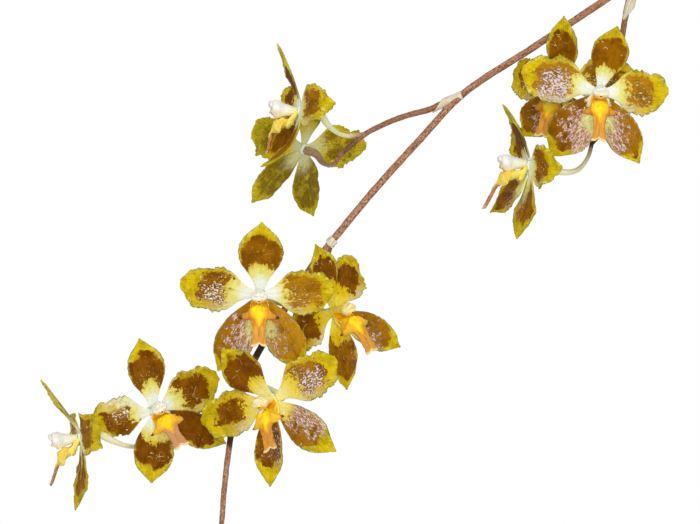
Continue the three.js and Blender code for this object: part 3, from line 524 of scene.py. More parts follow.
def route(points, steps):
    """Evenly spaced points on a smooth curve through the given ones, and how far along it they are."""
    points = np.array([np.asarray(point, float) for point in points])
    knots = np.vstack([2 * points[0] - points[1], points, 2 * points[-1] - points[-2]])
    f = np.linspace(0, 1, 25)[:, None]
    dense = []
    for p0, p1, p2, p3 in zip(knots, knots[1:], knots[2:], knots[3:]):
        d0, d1, d2 = (max(math.sqrt(np.linalg.norm(b - a)), 1e-4) for a, b in ((p0, p1), (p1, p2), (p2, p3)))
        out = ((p1 - p0) / d0 - (p2 - p0) / (d0 + d1) + (p2 - p1) / d1) * d1
        into = ((p2 - p1) / d1 - (p3 - p1) / (d1 + d2) + (p3 - p2) / d2) * d1
        curve = p1 + out * f + (3 * (p2 - p1) - 2 * out - into) * f**2 + (2 * (p1 - p2) + out + into) * f**3
        dense.append(curve[:-1])
    dense = np.vstack(dense + [points[-1:]])
    lengths = np.concatenate([[0], np.cumsum(np.linalg.norm(np.diff(dense, axis=0), axis=1))])
    at = np.linspace(0, lengths[-1], steps + 1)
    return np.stack([np.interp(at, lengths, dense[:, k]) for k in range(3)], axis=-1), at


def wrapped(centres, radius, angle):
    """Points round a route. The direction that the angle is counted from is carried along it."""
    along = unit(np.gradient(centres, axis=0))
    side = unit(np.cross(along[0], (0.3, 1, 0.2)))
    sides = []
    for tangent in along:
        side = unit(side - tangent * np.dot(side, tangent))
        sides.append(side)
    first = np.array(sides)
    second = np.cross(along, first)
    return (
        centres[:, None]
        + first[:, None] * (radius * np.cos(angle))[..., None]
        + second[:, None] * (radius * np.sin(angle))[..., None]
    )


def painted_stem_shadow(points):
    """How much painted shadow the stem has at each point: dark along the listed stretches, fading out at
    their ends.
    """
    dark = np.zeros(len(points))
    for px, py, depth, reach, strength in STEM_SHADOWS:
        distance = np.linalg.norm(points - seen(px, py, depth), axis=-1)
        dark = np.maximum(dark, strength * bell(distance, reach, 4))
    return dark


def tube(shape, points, radii, sides, steps, relief=None, tone=None):
    """Adds a round tube. relief(along, angle) adds to its radius, and tone is how pale and red a stem is,
    carried together with its painted shadow.
    """
    centres, along = route(points, steps)
    along = along[:, None]
    share = np.linspace(0, 1, steps + 1)[:, None]
    angle = circle(sides)
    radius = smooth_at(radii, share) + (relief(along, angle) if relief else 0 * angle)
    rings = wrapped(centres, radius, angle)
    skin = np.vstack([rings.reshape(-1, 3), centres[:1], centres[-1:]])
    ring = np.arange(sides)
    fan = stacked(ring, (ring + 1) % sides, len(skin) - 2)
    last = steps * sides
    run = np.vstack([stacked(along, angle, share).reshape(-1, 3), (0, 0, 0), (along[-1, 0], 0, 1)])
    faces = [grid_faces(steps + 1, sides, around=True)[:, ::-1], fan[:, ::-1], fan + [last, last, 1]]
    stem = {"tone": stacked(*tone, painted_stem_shadow(skin))} if tone else {}
    shape.add(skin, faces, run=run, **stem)


# Materials

def light(colour):
    """A colour given as it shows on a screen, from 0 to 255, turned into light. A value stays as it is."""
    if isinstance(colour, Value):
        return colour
    shares = [number / 255 for number in colour]
    return (*(x / 12.92 if x <= 0.04045 else ((x + 0.055) / 1.055) ** 2.4 for x in shares), 1)


class Value:
    """A number, a vector or a colour that a material works out. The sums are done with nodes."""

    def __init__(self, look, socket):
        self.look = look
        self.socket = socket

    def __add__(self, other):
        return self.look.math("ADD", self, other)

    def __sub__(self, other):
        return self.look.math("SUBTRACT", self, other)

    def __rsub__(self, other):
        return self.look.math("SUBTRACT", other, self)

    def __mul__(self, other):
        return self.look.math("MULTIPLY", self, other)

    def __neg__(self):
        return self * -1

    def __abs__(self):
        return self.look.math("ABSOLUTE", self)

    def rise(self, low, high):
        """Rises smoothly from 0 at low to 1 at high."""
        inputs = [("Value", self), ("From Min", low), ("From Max", high)]
        return self.look.node("ShaderNodeMapRange", inputs, interpolation_type="SMOOTHSTEP")

    def fall(self, low, high):
        return 1 - self.rise(low, high)

    def toward(self, other, share):
        return self + share * (other - self)


class Surface:
    """Builds one material's nodes. Its methods take values, numbers or colours, and give back values."""

    def __init__(self, name, roughness=0.5, specular=0.5, **settings):
        self.material = bpy.data.materials.new(name)
        self.material.use_nodes = True
        self.tree = self.material.node_tree
        self.shader = next(node for node in self.tree.nodes if node.type == "BSDF_PRINCIPLED")
        self.set(Roughness=roughness, Specular_IOR_Level=specular, **settings)

    def feed(self, socket, value):
        if isinstance(value, Value):
            self.tree.links.new(value.socket, socket)
        else:
            socket.default_value = value

    def set(self, **settings):
        for key, value in settings.items():
            self.feed(self.shader.inputs[key.replace("_", " ")], value)

    def node(self, kind, inputs=(), output=0, **settings):
        node = self.tree.nodes.new(kind)
        for key, value in settings.items():
            setattr(node, key, value)
        for key, value in inputs:
            self.feed(node.inputs[key], value)
        return Value(self, node.outputs[output])

    def split(self, vector):
        """The three numbers of a vector."""
        first = self.node("ShaderNodeSeparateXYZ", [(0, vector)])
        return [Value(self, socket) for socket in first.socket.node.outputs]

    def values(self, name):
        """The three numbers of a value that the mesh carries."""
        return self.split(self.node("ShaderNodeAttribute", output="Vector", attribute_name=name))

    def where(self):
        return self.node("ShaderNodeTexCoord", output="Object")

    def math(self, operation, *values):
        return self.node("ShaderNodeMath", enumerate(values), operation=operation)

    def vector(self, *numbers):
        return self.node("ShaderNodeCombineXYZ", enumerate(numbers))

    def noise(self, at, scale, detail=2, roughness=0.55):
        """Cloudy noise from 0 to 1, at a vector or at three numbers."""
        vector = self.vector(*at) if isinstance(at, tuple) else at
        inputs = [("Vector", vector), ("Scale", scale), ("Detail", detail), ("Roughness", roughness)]
        return self.node("ShaderNodeTexNoise", inputs)

    def coats(self, base, *coats):
        """A colour with others laid over it. Each coat is how much it covers, from 0 to 1, and its colour."""
        for share, over in coats:
            inputs = [(0, share), (6, light(base)), (7, light(over))]
            base = self.node("ShaderNodeMix", inputs, output=2, data_type="RGBA", clamp_factor=True)
        return base

    def finish(self, base, roughness=None, height=None, depth=0.1):
        """Connects the colour, the roughness and a height, whose relief is so many millimetres deep."""
        self.set(Base_Color=base)
        if roughness is not None:
            self.set(Roughness=roughness)
        if height is not None:
            inputs = [("Height", height), ("Distance", depth * MM), ("Strength", 1)]
            self.set(Normal=self.node("ShaderNodeBump", inputs))
        return self.material


def tepal_material():
    """White claw, brown blotch with a jagged foot, mustard margins and tip, painted glints and highlights,
    olive back.
    """
    look = Surface("tepal", roughness=0.42, specular=0.04)
    t, s, front = look.values("blade")
    u, v, seed = look.values("flat")
    start, end, reach = look.values("blotch")
    lean, fleck, streaky = look.values("flecks")
    mottle, tone, corner = look.values("manner")
    gold, bare, shift = look.values("skin")
    place = look.vector(u, v, seed * 7.3)
    broad = look.noise(place, 0.42, 2) - 0.5
    blobs = look.noise(place, 1.05, 3, 0.62) - 0.5
    flames = look.noise((u * 0.4, v * 1.3, seed * 3.1), 1.1, 3, 0.7) - 0.5
    grain = look.noise(place, 2.6, 3, 0.7) - 0.5
    across = abs(s)
    square = s * s
    low = s * lean
    low_side = low.rise(0.25, 0.9)
    rough = blobs * mottle

    jagged = t + broad * 0.2 + flames * 0.26 + rough * 0.42 + square * 0.17 - low_side * 0.08 + grain * 0.12
    foot = jagged.rise(start - 0.015, start + 0.025)
    ragged = t + broad * 0.34 + rough * 0.24 + square * 0.16 + grain * 0.06
    head = ragged.fall(end - 0.03, end + 0.03)
    sideways = abs(s + shift + lean * 0.06) + broad * 0.6 + rough * 0.6 + grain * 0.2
    sideways = sideways + t.rise(0.35, 0.55) * 0.1
    blotch = foot * head * sideways.fall(reach - 0.09, reach + 0.07)

    claw = look.coats(
        (240, 244, 232),
        ((t + blobs * 0.16 + square * 0.07).rise(0.12, 0.3), (230, 224, 120)),
        (flames.rise(0, 0.2) * t.rise(0.12, 0.25) * 0.5, (222, 206, 110)),
        (tone, look.coats((244, 226, 78), (t.rise(0.05, 0.3), (232, 198, 12)))),
    )
    crimped = across.rise(0.6, 1) * t.rise(0.3, 0.5)
    mustard = look.coats(
        (218, 189, 10),
        ((broad + blobs * 0.5).rise(-0.16, 0.2), (184, 158, 8)),
        (flames.rise(0, 0.25) * 0.35, (236, 218, 70)),
        # crinkled margin: greenish, partly its own colour and partly painted shade of the crinkles; then
        # painted highlights on the crinkles
        (crimped * blobs.rise(-0.1, 0.16) * 0.8, (164, 160, 48)),
        (crimped * (-blobs).rise(0.02, 0.18) * 0.7, (238, 230, 140)),
    )
    halo = jagged.rise(start - 0.09, start) * head
    islands = blobs.rise(0.1, 0.14) * t.rise(0.24, 0.32) * t.fall(0.5, 0.7) * mottle
    wash = low_side * t.rise(0.16, 0.3) * blobs.rise(-0.15, 0.15) * corner * 0.8
    ground = look.coats(
        claw,
        ((t + flames * 0.1).rise(0.27, 0.48), mustard),
        (halo * 0.32, (212, 160, 34)),
        (islands * 0.8, (164, 104, 20)),
        (wash * t.fall(0.4, corner * 0.06 + 0.64), (230, 226, 184)),
    )
    brown = look.coats(
        (114, 64, 0),
        (broad.rise(-0.2, 0.2), (150, 94, 0)),
        (blobs.rise(0.05, 0.3) * 0.45, (176, 120, 10)),
        ((-grain).rise(0.1, 0.3) * 0.5, (104, 56, 0)),
        (gold * (broad + across.rise(0.1, 0.8) * 0.2).rise(-0.5, 0.2), (204, 148, 22)),
        (-gold, (98, 48, 0)),
    )

    # Painted glints: pale dots and streaks standing for light sparkling off the blotch, and a lilac painted
    # sheen
    dots = look.noise((u * 0.9, v * 1.4, seed * 5.7), 2.1, 2, 0.6)
    lines = look.noise((u * 0.6, v * 2, seed * 5.7), 1.8, 2, 0.7)
    spread = look.noise(place, 0.75, 2, 0.5) * 2.4 - 0.9
    centred = ((0.4 - t) * 4 + 0.7 - across) * (1 - abs(lean))
    band = t.rise(0.24, 0.4) * (t + broad * 0.3).fall(0.6, 0.86)
    dotted = (low + spread + centred).rise(-0.7, 0.5) * band * fleck * blotch.toward(1, fleck.rise(0.9, 1.2))
    lined = (low * 0.55 + 0.62 + (0.5 - t) * 0.7 + spread - 0.2).rise(0, 1.1)
    lined = lined * t.rise(0.16, 0.3) * t.fall(0.66, 0.9) * fleck * 1.25
    density = dotted.toward(lined, streaky)
    threshold = look.math("MAXIMUM", 0.7 - density * 0.25, 0.47)
    pale = dots.toward(lines, streaky).rise(threshold, threshold + 0.04) * density.rise(0.02, 0.2)
    glint_colour = look.coats(
        (204, 148, 74),
        (density.rise(0.05, 0.5), (250, 236, 204)),
        (fleck.rise(0.8, 1.1), (226, 206, 204)),
        (streaky, (240, 208, 192)),
    )
    inner = streaky * (low + blobs * 0.6).rise(-0.1, 0.35) * t.rise(0.08, 0.16)
    inner = inner * (t + blobs * 0.4).fall(0.32, 0.52) * (1 - bare)
    # Painted glints in thin curled pale lines, where the glints are not streaks
    glint_curls = abs(look.noise(place, 0.4, 1) - 0.5).fall(0.004, 0.009)
    glint_curls = glint_curls * look.noise(place, 0.55, 1).rise(0.56, 0.62) * streaky.fall(0.2, 0.6) * t.rise(0.45, 0.6)
    edge = across.rise(0.92, 0.98) * t.rise(0.3, 0.45)
    seam = across.rise(0.965, 0.99) * t.rise(0.22, 0.4) * grain.rise(-0.2, 0)
    face = look.coats(
        ground,
        (blotch, brown),
        # painted glints, then a lilac painted sheen where the glints are streaks
        (pale * (density * 0.55 + 0.5), glint_colour),
        (streaky * density.rise(0.3, 1.2) * 0.3, (204, 160, 136)),
        (inner * 0.9, (255, 252, 160)),
        (glint_curls * 0.75, (244, 220, 150)),
        # a painted highlight along the margin, then the margin's own dark olive
        (edge * grain.rise(0.02, 0.12) * 0.6, (240, 234, 170)),
        (edge * (-grain).rise(-0.02, 0.1) * 0.8, (132, 128, 30)),
        (seam * 0.7, (98, 104, 26)),
    )

    veins = look.noise((u * 0.12, v * 1.6, seed), 1.3, 1).rise(0.45, 0.7)
    # the keel, a ridge down the back, gets a painted highlight below
    keel = across.fall(0.02, 0.1) * t.rise(0.05, 0.2) * t.fall(0.7, 0.95)
    behind = look.coats(
        (180, 162, 8),
        (flames.rise(-0.2, 0.25), (216, 200, 40)),
        ((blotch * 0.5 + broad * 1.3 + blobs * 0.2).rise(0.05, 0.5) * 0.72, (118, 82, 4)),
        (blotch * gold * -1.2, (98, 58, 4)),
        (veins * 0.08, (96, 84, 4)),
        ((blobs * 0.4 - broad).rise(0, 0.16) * 0.5, (208, 178, 44)),
        ((t + flames * 0.35 + across * 0.12).fall(0.08, 0.44) * 0.85, (226, 226, 176)),
        (keel * flames.rise(-0.1, 0.2) * 0.4, (216, 206, 110)),
    )
    base = look.coats(behind, (front, face))
    relief = veins * t.rise(0.15, 0.45) * 0.5 + look.noise(place, 5, 2, 0.6) * 0.4 + blobs * 1.6 + pale * 0.8
    return look.finish(base, grain * 0.3 + 0.44 - pale * 0.2, relief, depth=0.24)


def lip_material():
    """Yellow callus that tapers down the lip, orange side lobes with dark ends, tan middle lobe, and painted
    light glowing through the most golden lips.
    """
    look = Surface("lip", roughness=0.4, specular=0.1)
    t, s, front = look.values("blade")
    u, v, seed = look.values("flat")
    rosy, golden_and_glow, foot = look.values("hue")
    t = t * (1 - foot * 0.75)
    # painted light: the most golden lips are paled as if light shone through them
    painted_glow = golden_and_glow.rise(0.7, 0.9)
    across = abs(s)
    out = abs(v)
    place = look.vector(u, v, seed * 7.3)
    broad = look.noise(place, 0.6, 2) - 0.5
    grain = look.noise(place, 3, 3, 0.7) - 0.5
    streak = look.noise((u * 0.4, v * 2.2, seed), 1.1, 3, 0.6)

    lobes = t.rise(0.2, 0.3) * t.fall(0.5, 0.58) * out.rise(1.8, 3)
    lobe_rim = across.rise(0.76, 0.95) * t.rise(0.12, 0.22) * t.fall(0.5, 0.58)
    ends = t.rise(0.34, 0.4) * t.fall(0.44, 0.5) * (out + grain * 1.2).rise(3.3, 3.9) * golden_and_glow.fall(0.7, 0.9)
    rim = across.rise(0.84, 0.97) * t.rise(0.5, 0.56)
    middle_line = out.fall(0.02, 0.3) * t.rise(0.56, 0.64) * t.fall(0.8, 0.95)
    blade = look.coats(
        (232, 170, 54),
        (streak.rise(0.35, 0.65), (198, 126, 36)),
        (t.rise(0.55, 0.9) * 0.5, (212, 148, 70)),
        (rosy * t.rise(0.4, 0.56), look.coats((170, 112, 72), (streak, (214, 164, 122)))),
        (lobes * 0.7, (210, 138, 56)),
        (lobe_rim * grain.rise(-0.2, 0.1) * 0.8, (158, 84, 50)),
        (golden_and_glow * t.fall(0.46, 0.58) * 0.9, (252, 210, 44)),
        # painted light glowing through the lip
        (painted_glow * t.fall(0.44, 0.56) * 0.5, (254, 238, 130)),
        (ends * 0.92, (84, 36, 14)),
        (rim * grain.rise(-0.1, 0.1) * 0.5, (168, 96, 44)),
        (middle_line * 0.5, (176, 100, 36)),
        ((t + grain * 0.08).rise(0.94, 0.99) * 0.8, (250, 232, 160)),
    )
    taper = out + look.math("MAXIMUM", t - 0.36, 0) * 6 + grain * 0.8 + broad * 0.7
    yellow = look.coats(
        (255, 224, 40),
        (broad.rise(-0.1, 0.3), (250, 200, 26)),
        (taper.rise(1, 1.8) * 0.75, (240, 166, 28)),
        ((t + broad * 0.1).fall(0.08, 0.24), (242, 176, 10)),
        (look.noise(place, 1.9, 1).rise(0.58, 0.66) * t.fall(0.34, 0.46) * 0.55, (214, 128, 16)),
        # painted light glowing through the callus
        (painted_glow * 0.5, (254, 238, 130)),
    )
    # the underside's pale yellow is partly its own colour and partly painted light shining through
    under = look.coats(
        (255, 244, 120),
        (broad.rise(-0.1, 0.25), (252, 222, 84)),
        ((t + grain * 0.1).rise(0.42, 0.54), (178, 122, 66)),
        (ends * 0.85, (104, 52, 22)),
    )
    base = look.coats(under, (front, look.coats(blade, (taper.fall(1.55, 2.2), yellow))))
    return look.finish(base, grain * 0.25 + 0.42, streak * 0.8 + grain * 0.5, depth=0.14)


def column_material():
    """Waxy greenish white, with a mottled cream cap, painted shade in the groove and the hollow below, and a
    speck of painted shade at the beak.
    """
    look = Surface(
        "column", roughness=0.36, specular=0.2, Subsurface_Weight=0.1, Subsurface_Radius=(1, 0.8, 0.5),
        Subsurface_Scale=MM,
    )
    share, height, hollow = look.values("column")
    tone, cap, sideways = look.values("hue")
    where = look.where()
    grain = look.noise(where, 1600, 2) - 0.5
    patches = look.noise(where, 700, 2) - 0.5
    groove = abs(share - 0.885).fall(0.003, 0.016) * 0.6
    near = share.rise(0.66, 0.74)
    aside = abs(sideways)
    bracket = (height + aside.fall(0.12, 0.34) * 0.8 + grain * 0.4).fall(-0.05, 0.3)
    crown = height.rise(0.95, 1.5) * aside.fall(0.4, 0.9) * near * look.noise(where, 1300, 2).rise(0.5, 0.62)
    low = height + 0.3
    body = look.coats(
        (236, 234, 196),
        (share.rise(0.1, 0.5), (246, 246, 236)),
        (tone * share.fall(0.5, 1.2), (248, 218, 70)),
        (cap.rise(0.4, 0.6) * 0.9, look.coats((246, 244, 232), (patches.rise(-0.15, 0.15), (232, 224, 196)))),
        (tone * 0.6, (250, 226, 104)),
        # painted shade in the groove at the foot of the cap
        (groove * height.rise(0, 1.2), (190, 160, 122)),
        # painted shade in the hollow under the cap
        (hollow.rise(0.35, 0.75), (96, 48, 18)),
        (bracket * near * aside.fall(0.85, 1.15) * 0.9, (244, 186, 26)),
        (aside.rise(0.7, 1.1) * height.fall(0.1, 0.7) * near * 0.5, (240, 206, 184)),
        (crown * 0.7, (186, 138, 116)),
        # painted shade: a near-black speck for a small hole under the beak
        ((aside * aside + low * low).fall(0.025, 0.07) * near, (28, 12, 4)),
    )
    return look.finish(body, grain * 0.2 + 0.38, grain, depth=0.05)


def stem_material():
    """Tan and reddish brown, finely speckled, with painted shadow on the listed stretches, pale green on the
    stalks.
    """
    look = Surface("stem", roughness=0.6, specular=0.2)
    run, turn, share = look.values("run")
    # the third value of tone is how much painted shadow lies on the stem
    pale, red, dark = look.values("tone")
    wrap = look.vector(run * 0.5, look.math("COSINE", turn), look.math("SINE", turn))
    speckle = look.noise(wrap, 3.4, 3, 0.75)
    fine = look.noise(look.where(), 2400, 2, 0.7)
    broad = look.noise(wrap, 0.35, 2)
    green = look.coats((246, 244, 206), (speckle.rise(0.35, 0.7), (224, 222, 160)))
    base = look.coats(
        (96, 54, 34),
        (speckle.rise(0.4, 0.58), (192, 140, 108)),
        (fine.rise(0.52, 0.7) * 0.7, (216, 176, 146)),
        (broad.rise(0.45, 0.7) * 0.4, (146, 90, 56)),
        (red * 0.6, (128, 82, 52)),
        (pale * (share + broad * 0.12).rise(0.06, 0.42), green),
        # painted shadow, nearly black-brown
        (
            (dark + broad * 0.3 - 0.15).rise(0.2, 0.75),
            look.coats((44, 26, 18), (speckle.rise(0.4, 0.65), (92, 58, 40))),
        ),
    )
    return look.finish(base, speckle * 0.2 + 0.5, speckle + fine, depth=0.06)


def bract_material():
    look = Surface("bract", roughness=0.75, specular=0.2)
    u, v, seed = look.values("flat")
    fibres = look.noise((u * 0.25, v * 3, seed), 1.6, 3, 0.7)
    blotches = look.noise((u, v, seed), 1.2, 3)
    base = look.coats(
        (196, 180, 152),
        (fibres.rise(0.35, 0.65), (232, 226, 204)),
        (blotches.rise(0.55, 0.75) * 0.4, (150, 122, 92)),
    )
    return look.finish(base, fibres * 0.3 + 0.6, fibres, depth=0.06)


def leaf_material():
    look = Surface("leaf", roughness=0.4, Subsurface_Weight=0.05, Subsurface_Scale=MM)
    t, s, front = look.values("blade")
    u, v, seed = look.values("flat")
    veins = look.noise((u * 0.02, v, seed * 4), 1.5, 3, 0.7)
    patches = look.noise((u * 0.1, v * 0.3, seed * 4), 1, 3)
    fine = look.noise((u, v, seed), 3.2, 2)
    blade = look.coats(
        (72, 108, 38),
        (veins.rise(0.3, 0.7), (104, 142, 54)),
        (patches.rise(0.5, 0.75) * 0.5, (128, 154, 60)),
        (abs(s).fall(0.02, 0.1) * 0.6, (142, 170, 84)),
        (t.fall(0, 0.12) * 0.7, (168, 182, 104)),
        ((t + patches * 0.05).rise(0.96, 1), (120, 88, 48)),
    )
    under = look.coats((112, 144, 72), (veins.rise(0.35, 0.65), (136, 164, 90)))
    base = look.coats(under, (front, blade))
    return look.finish(base, patches * 0.16 + 0.34, veins + fine * 0.15, depth=0.35)


def bulb_material():
    look = Surface("bulb", roughness=0.42, Subsurface_Weight=0.08, Subsurface_Scale=2 * MM)
    run, turn, share = look.values("run")
    where = look.where()
    wrap = look.vector(look.math("COSINE", turn) * 6, look.math("SINE", turn) * 6, run * 0.06)
    streaks = look.noise(wrap, 1.4, 3, 0.6)
    patches = look.noise(where, 90, 3)
    fine = look.noise(where, 1400, 2)
    base = look.coats(
        (96, 122, 46),
        (streaks.rise(0.35, 0.68), (142, 158, 70)),
        (patches.rise(0.5, 0.72) * 0.5, (164, 160, 76)),
        ((share + patches * 0.12).fall(0.03, 0.3), (196, 192, 138)),
        (fine.rise(0.62, 0.68) * 0.35, (96, 84, 44)),
    )
    return look.finish(base, patches * 0.2 + 0.34, streaks + fine * 0.2, depth=0.25)


def sheath_material():
    """The dry, fibrous remains of old leaf bases."""
    look = Surface("dry_sheath", roughness=0.85)
    u, v, seed = look.values("flat")
    fibres = look.noise((u * 0.08, v * 2, seed), 1.8, 4, 0.75)
    stains = look.noise((u * 0.3, v, seed), 0.5, 3)
    base = look.coats(
        (150, 118, 74),
        (fibres.rise(0.35, 0.65), (224, 204, 162)),
        (stains.rise(0.48, 0.7) * 0.6, (98, 70, 42)),
    )
    return look.finish(base, height=fibres, depth=0.4)


def root_material():
    look = Surface("root", roughness=0.75)
    where = look.where()
    patches = look.noise(where, 160, 3)
    fine = look.noise(where, 1500, 3, 0.7)
    base = look.coats(
        (206, 202, 180),
        (patches.rise(0.35, 0.65), (168, 158, 124)),
        (fine.rise(0.52, 0.7) * 0.6, (122, 104, 76)),
    )
    return look.finish(base, height=fine + patches, depth=0.25)


def bud_material():
    look = Surface("bud", roughness=0.42, Subsurface_Weight=0.08, Subsurface_Scale=MM)
    share = look.values("run")[2]
    where = look.where()
    blotches = look.noise(where, 420, 3, 0.65)
    base = look.coats(
        (176, 170, 54),
        (blotches.rise(0.5, 0.6), (138, 92, 26)),
        (share.fall(0, 0.3), (196, 204, 120)),
    )
    return look.finish(base, height=look.noise(where, 2400, 2) + blotches, depth=0.08)


def clay_material():
    """Unglazed clay: fine grain, faint turning rings, a pale bloom of lime, and darker towards the foot."""
    look = Surface("clay", roughness=0.85, specular=0.3)
    where = look.where()
    x, y, z = look.split(where)
    height = z * 1000
    rings = look.noise((x * 6, y * 6, height * 0.55), 1, 3)
    cloud = look.noise(where, 34, 4, 0.6)
    grain = look.noise(where, 900, 3, 0.7)
    pits = look.noise(where, 420, 1).rise(0.62, 0.7)
    base = look.coats(
        (176, 98, 62),
        (cloud.rise(0.3, 0.7), (198, 122, 82)),
        (grain.rise(0.4, 0.65) * 0.35, (214, 146, 108)),
        (look.noise(where, 22, 5, 0.65).rise(0.5, 0.72) * height.rise(20, 80) * 0.55, (222, 198, 176)),
        ((height + cloud * 18).fall(4, 26) * 0.45, (132, 74, 50)),
        (pits * 0.5, (120, 66, 44)),
    )
    return look.finish(base, grain * 0.2 + 0.75, rings * 1.4 + grain * 0.4 - pits * 0.6, depth=0.3)


def bark_material():
    look = Surface("bark", roughness=0.9, specular=0.25)
    x, y, z = look.values("grain")
    tone, kind, seed = look.values("chip")
    deep = z + seed * 9
    fibres = look.noise((x * 0.12, y * 0.7, deep), 1.6, 4, 0.7)
    pores = look.noise((x * 0.4, y, deep), 2.2, 2)
    base = look.coats(
        (64, 38, 22),
        (tone, (142, 92, 56)),
        (fibres.rise(0.4, 0.66), (104, 66, 40)),
        (pores.rise(0.54, 0.68) * 0.6, (44, 26, 16)),
        (kind.rise(0.4, 0.6), look.coats((214, 208, 196), (pores.rise(0.4, 0.6), (176, 166, 150)))),
    )
    return look.finish(base, height=fibres + pores * 0.5, depth=0.5)


MATERIALS = dict(
    tepal=tepal_material(), lip=lip_material(), column=column_material(), stem=stem_material(),
    bract=bract_material(), leaf=leaf_material(), bulb=bulb_material(), dry_sheath=sheath_material(),
    root=root_material(), bud=bud_material(), clay=clay_material(), bark=bark_material(),
)


def dressed(piece, slot, *nodes):
    """Says what a piece rides on and which CAD nodes it stands for, if any. slot is not used."""
    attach(piece, "root")
    if nodes:
        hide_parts(*nodes)


# Blooms

def bloom_turn(bloom):
    return about("Z", bloom["yaw"]) @ about("X", 90 + bloom["nod"]) @ about("Z", bloom["roll"])


def make_tepals(bloom, number, place):
    shape = Shape()
    tone = bloom["tone"]
    for k, (part, usual) in enumerate(TEPALS.items()):
        own = bloom.get(part, {})
        blade = {**usual, **own}
        if "angle" in own:
            blade["angle"] = own["angle"] - bloom["roll"]
        seed = number * 5 + k + 0.37
        wobble = 0.03 * math.sin(2.1 * seed)
        blade_sheet(
            shape, blade, place, seed, rows=56, columns=31,
            blotch=(blade["foot"] + wobble, blade["head"] - wobble, blade["reach"]),
            flecks=(blade["lean"], blade["fleck"], blade["streaky"]),
            manner=(blade["mottle"], tone, blade["corner"]),
            skin=(blade["gold"], blade["bare"], blade["shift"]),
        )
    sides = 18
    radii = np.array([0.55, 1.0, 1.16, 1.2, 1.1, 0.75])[:, None]
    heights = np.linspace(HUB["back"], HUB["front"] + 0.25, len(radii))[:, None]
    hub = stacked(radii * np.cos(circle(sides)), radii * np.sin(circle(sides)), heights)
    shape.add(
        place(hub), ring_faces(len(radii), sides),
        blade=(0.05, 0, 1), flat=(0, 0, 0), blotch=(0.5, 0.5, 1), flecks=(0, 0, 0), manner=(0, tone, 0),
        skin=(0, 0, 0),
    )
    dressed(shape.build(f"tepals_of_{bloom['name']}", "tepal"), "tepal", f"{bloom['name']}_tepals")


def callus_swell(t, s):
    """How far the knobbed callus stands up from the lip."""
    out = np.abs(s)
    body = CALLUS * (0.3 + 0.7 * rise(0, 0.2, t)) * fall(0.3, 0.52, t) * fall(0.4, 1, out)
    spread = fall(0.4, 0.8, out) * rise(0.08, 0.2, t) * fall(0.36, 0.48, t)
    knobs = 0.4 * np.cos(TURN * 2.2 * s) * spread * (0.6 + 0.4 * np.sin(40 * t))
    ridge = 0.3 * bell(s, 0.22) * rise(0.38, 0.48, t) * fall(0.56, 0.8, t)
    return body + knobs + ridge


def make_lip(bloom, number, place):
    shape = Shape()
    blade = {**LIP, **bloom["lip"]}
    foot = dict(
        outline=(LIP_FOOT, LIP_FOOT), angle=blade["angle"], length=blade["start"] + 1.6, width=4, start=0.1,
        rise=0.7, lift=24, cup=40,
    )
    hue = (bloom["rosy"], bloom["golden_and_glow"])
    blade_sheet(shape, foot, place, number + 0.2, rows=10, columns=13, thickness=1.1, hue=(*hue, 1))
    blade_sheet(shape, blade, place, number + 0.6, rows=64, columns=35, swell=callus_swell, hue=(*hue, 0))
    dressed(shape.build(f"lip_of_{bloom['name']}", "lip"), "lip", f"{bloom['name']}_lip")


def make_column(bloom, place):
    """A horn that widens to two wings, with a domed cap over a small hollow."""
    wide = [0.8, 0.82, 0.86, 0.9, 1.0, 1.22, 1.42, 1.44, 1.3]
    high = [0.75, 0.8, 0.9, 1.0, 1.12, 1.36, 1.54, 1.5, 1.3]
    middle = [0.4, 0.45, 0.49, 0.5, 0.5, 0.5, 0.5, 0.54, 0.66]
    rows, sides = 48, 32
    horn, cap_foot = 0.74, 0.88
    f = np.linspace(0, 1, rows)[:, None]
    dome = np.clip((f - horn) / (1 - horn), 0, 1) * math.pi / 2
    share = np.where(f < horn, cap_foot * f / horn, cap_foot + (1 - cap_foot) * np.sin(dome))
    angle = circle(sides, start=-math.pi / 2)
    closing = np.cos(dome) ** 0.6 * (1 - 0.09 * bell(share - 0.885, 0.02)) * bloom["girth"]
    wings = 1 + 0.28 * np.abs(np.cos(angle)) ** 8 * rise(0.45, 0.7, share) * fall(0.88, 0.95, share)
    below = bell(angle + math.pi / 2, 0.55) + bell(angle - 1.5 * math.pi, 0.55)
    hollow = below * bell(share - 0.86, 0.075)
    at = np.clip(share / 0.9, 0, 1)
    x = smooth_at(wide, at) * wings * closing * np.cos(angle) * (1 - 0.2 * hollow)
    y = smooth_at(middle, share) + smooth_at(high, at) * closing * np.sin(angle) * (1 - 0.55 * hollow)
    level = (y - 0.66) / 1.5
    mouth = 0.25 * level - 0.6 * bell(level + 0.2, 0.3)
    z = COLUMN["start"] + share * COLUMN["length"] + rise(0.88, 0.98, share) * mouth
    cap = rise(0.87, 0.9, share) * (1 - below)
    shape = Shape()
    shape.add(
        place(stacked(x, y - bloom["drop"], z)), ring_faces(rows, sides),
        column=stacked(share, y, hollow), hue=stacked(bloom["tone"], cap, x),
    )
    dressed(shape.build(f"column_of_{bloom['name']}", "column"), "column", f"{bloom['name']}_column")


def make_bloom(bloom, number):
    turn = bloom_turn(bloom)
    at = seen(*bloom["at"])

    def place(points):
        return turned(points, turn, at)

    make_tepals(bloom, number, place)
    make_lip(bloom, number, place)
    make_column(bloom, place)


# Flower stem

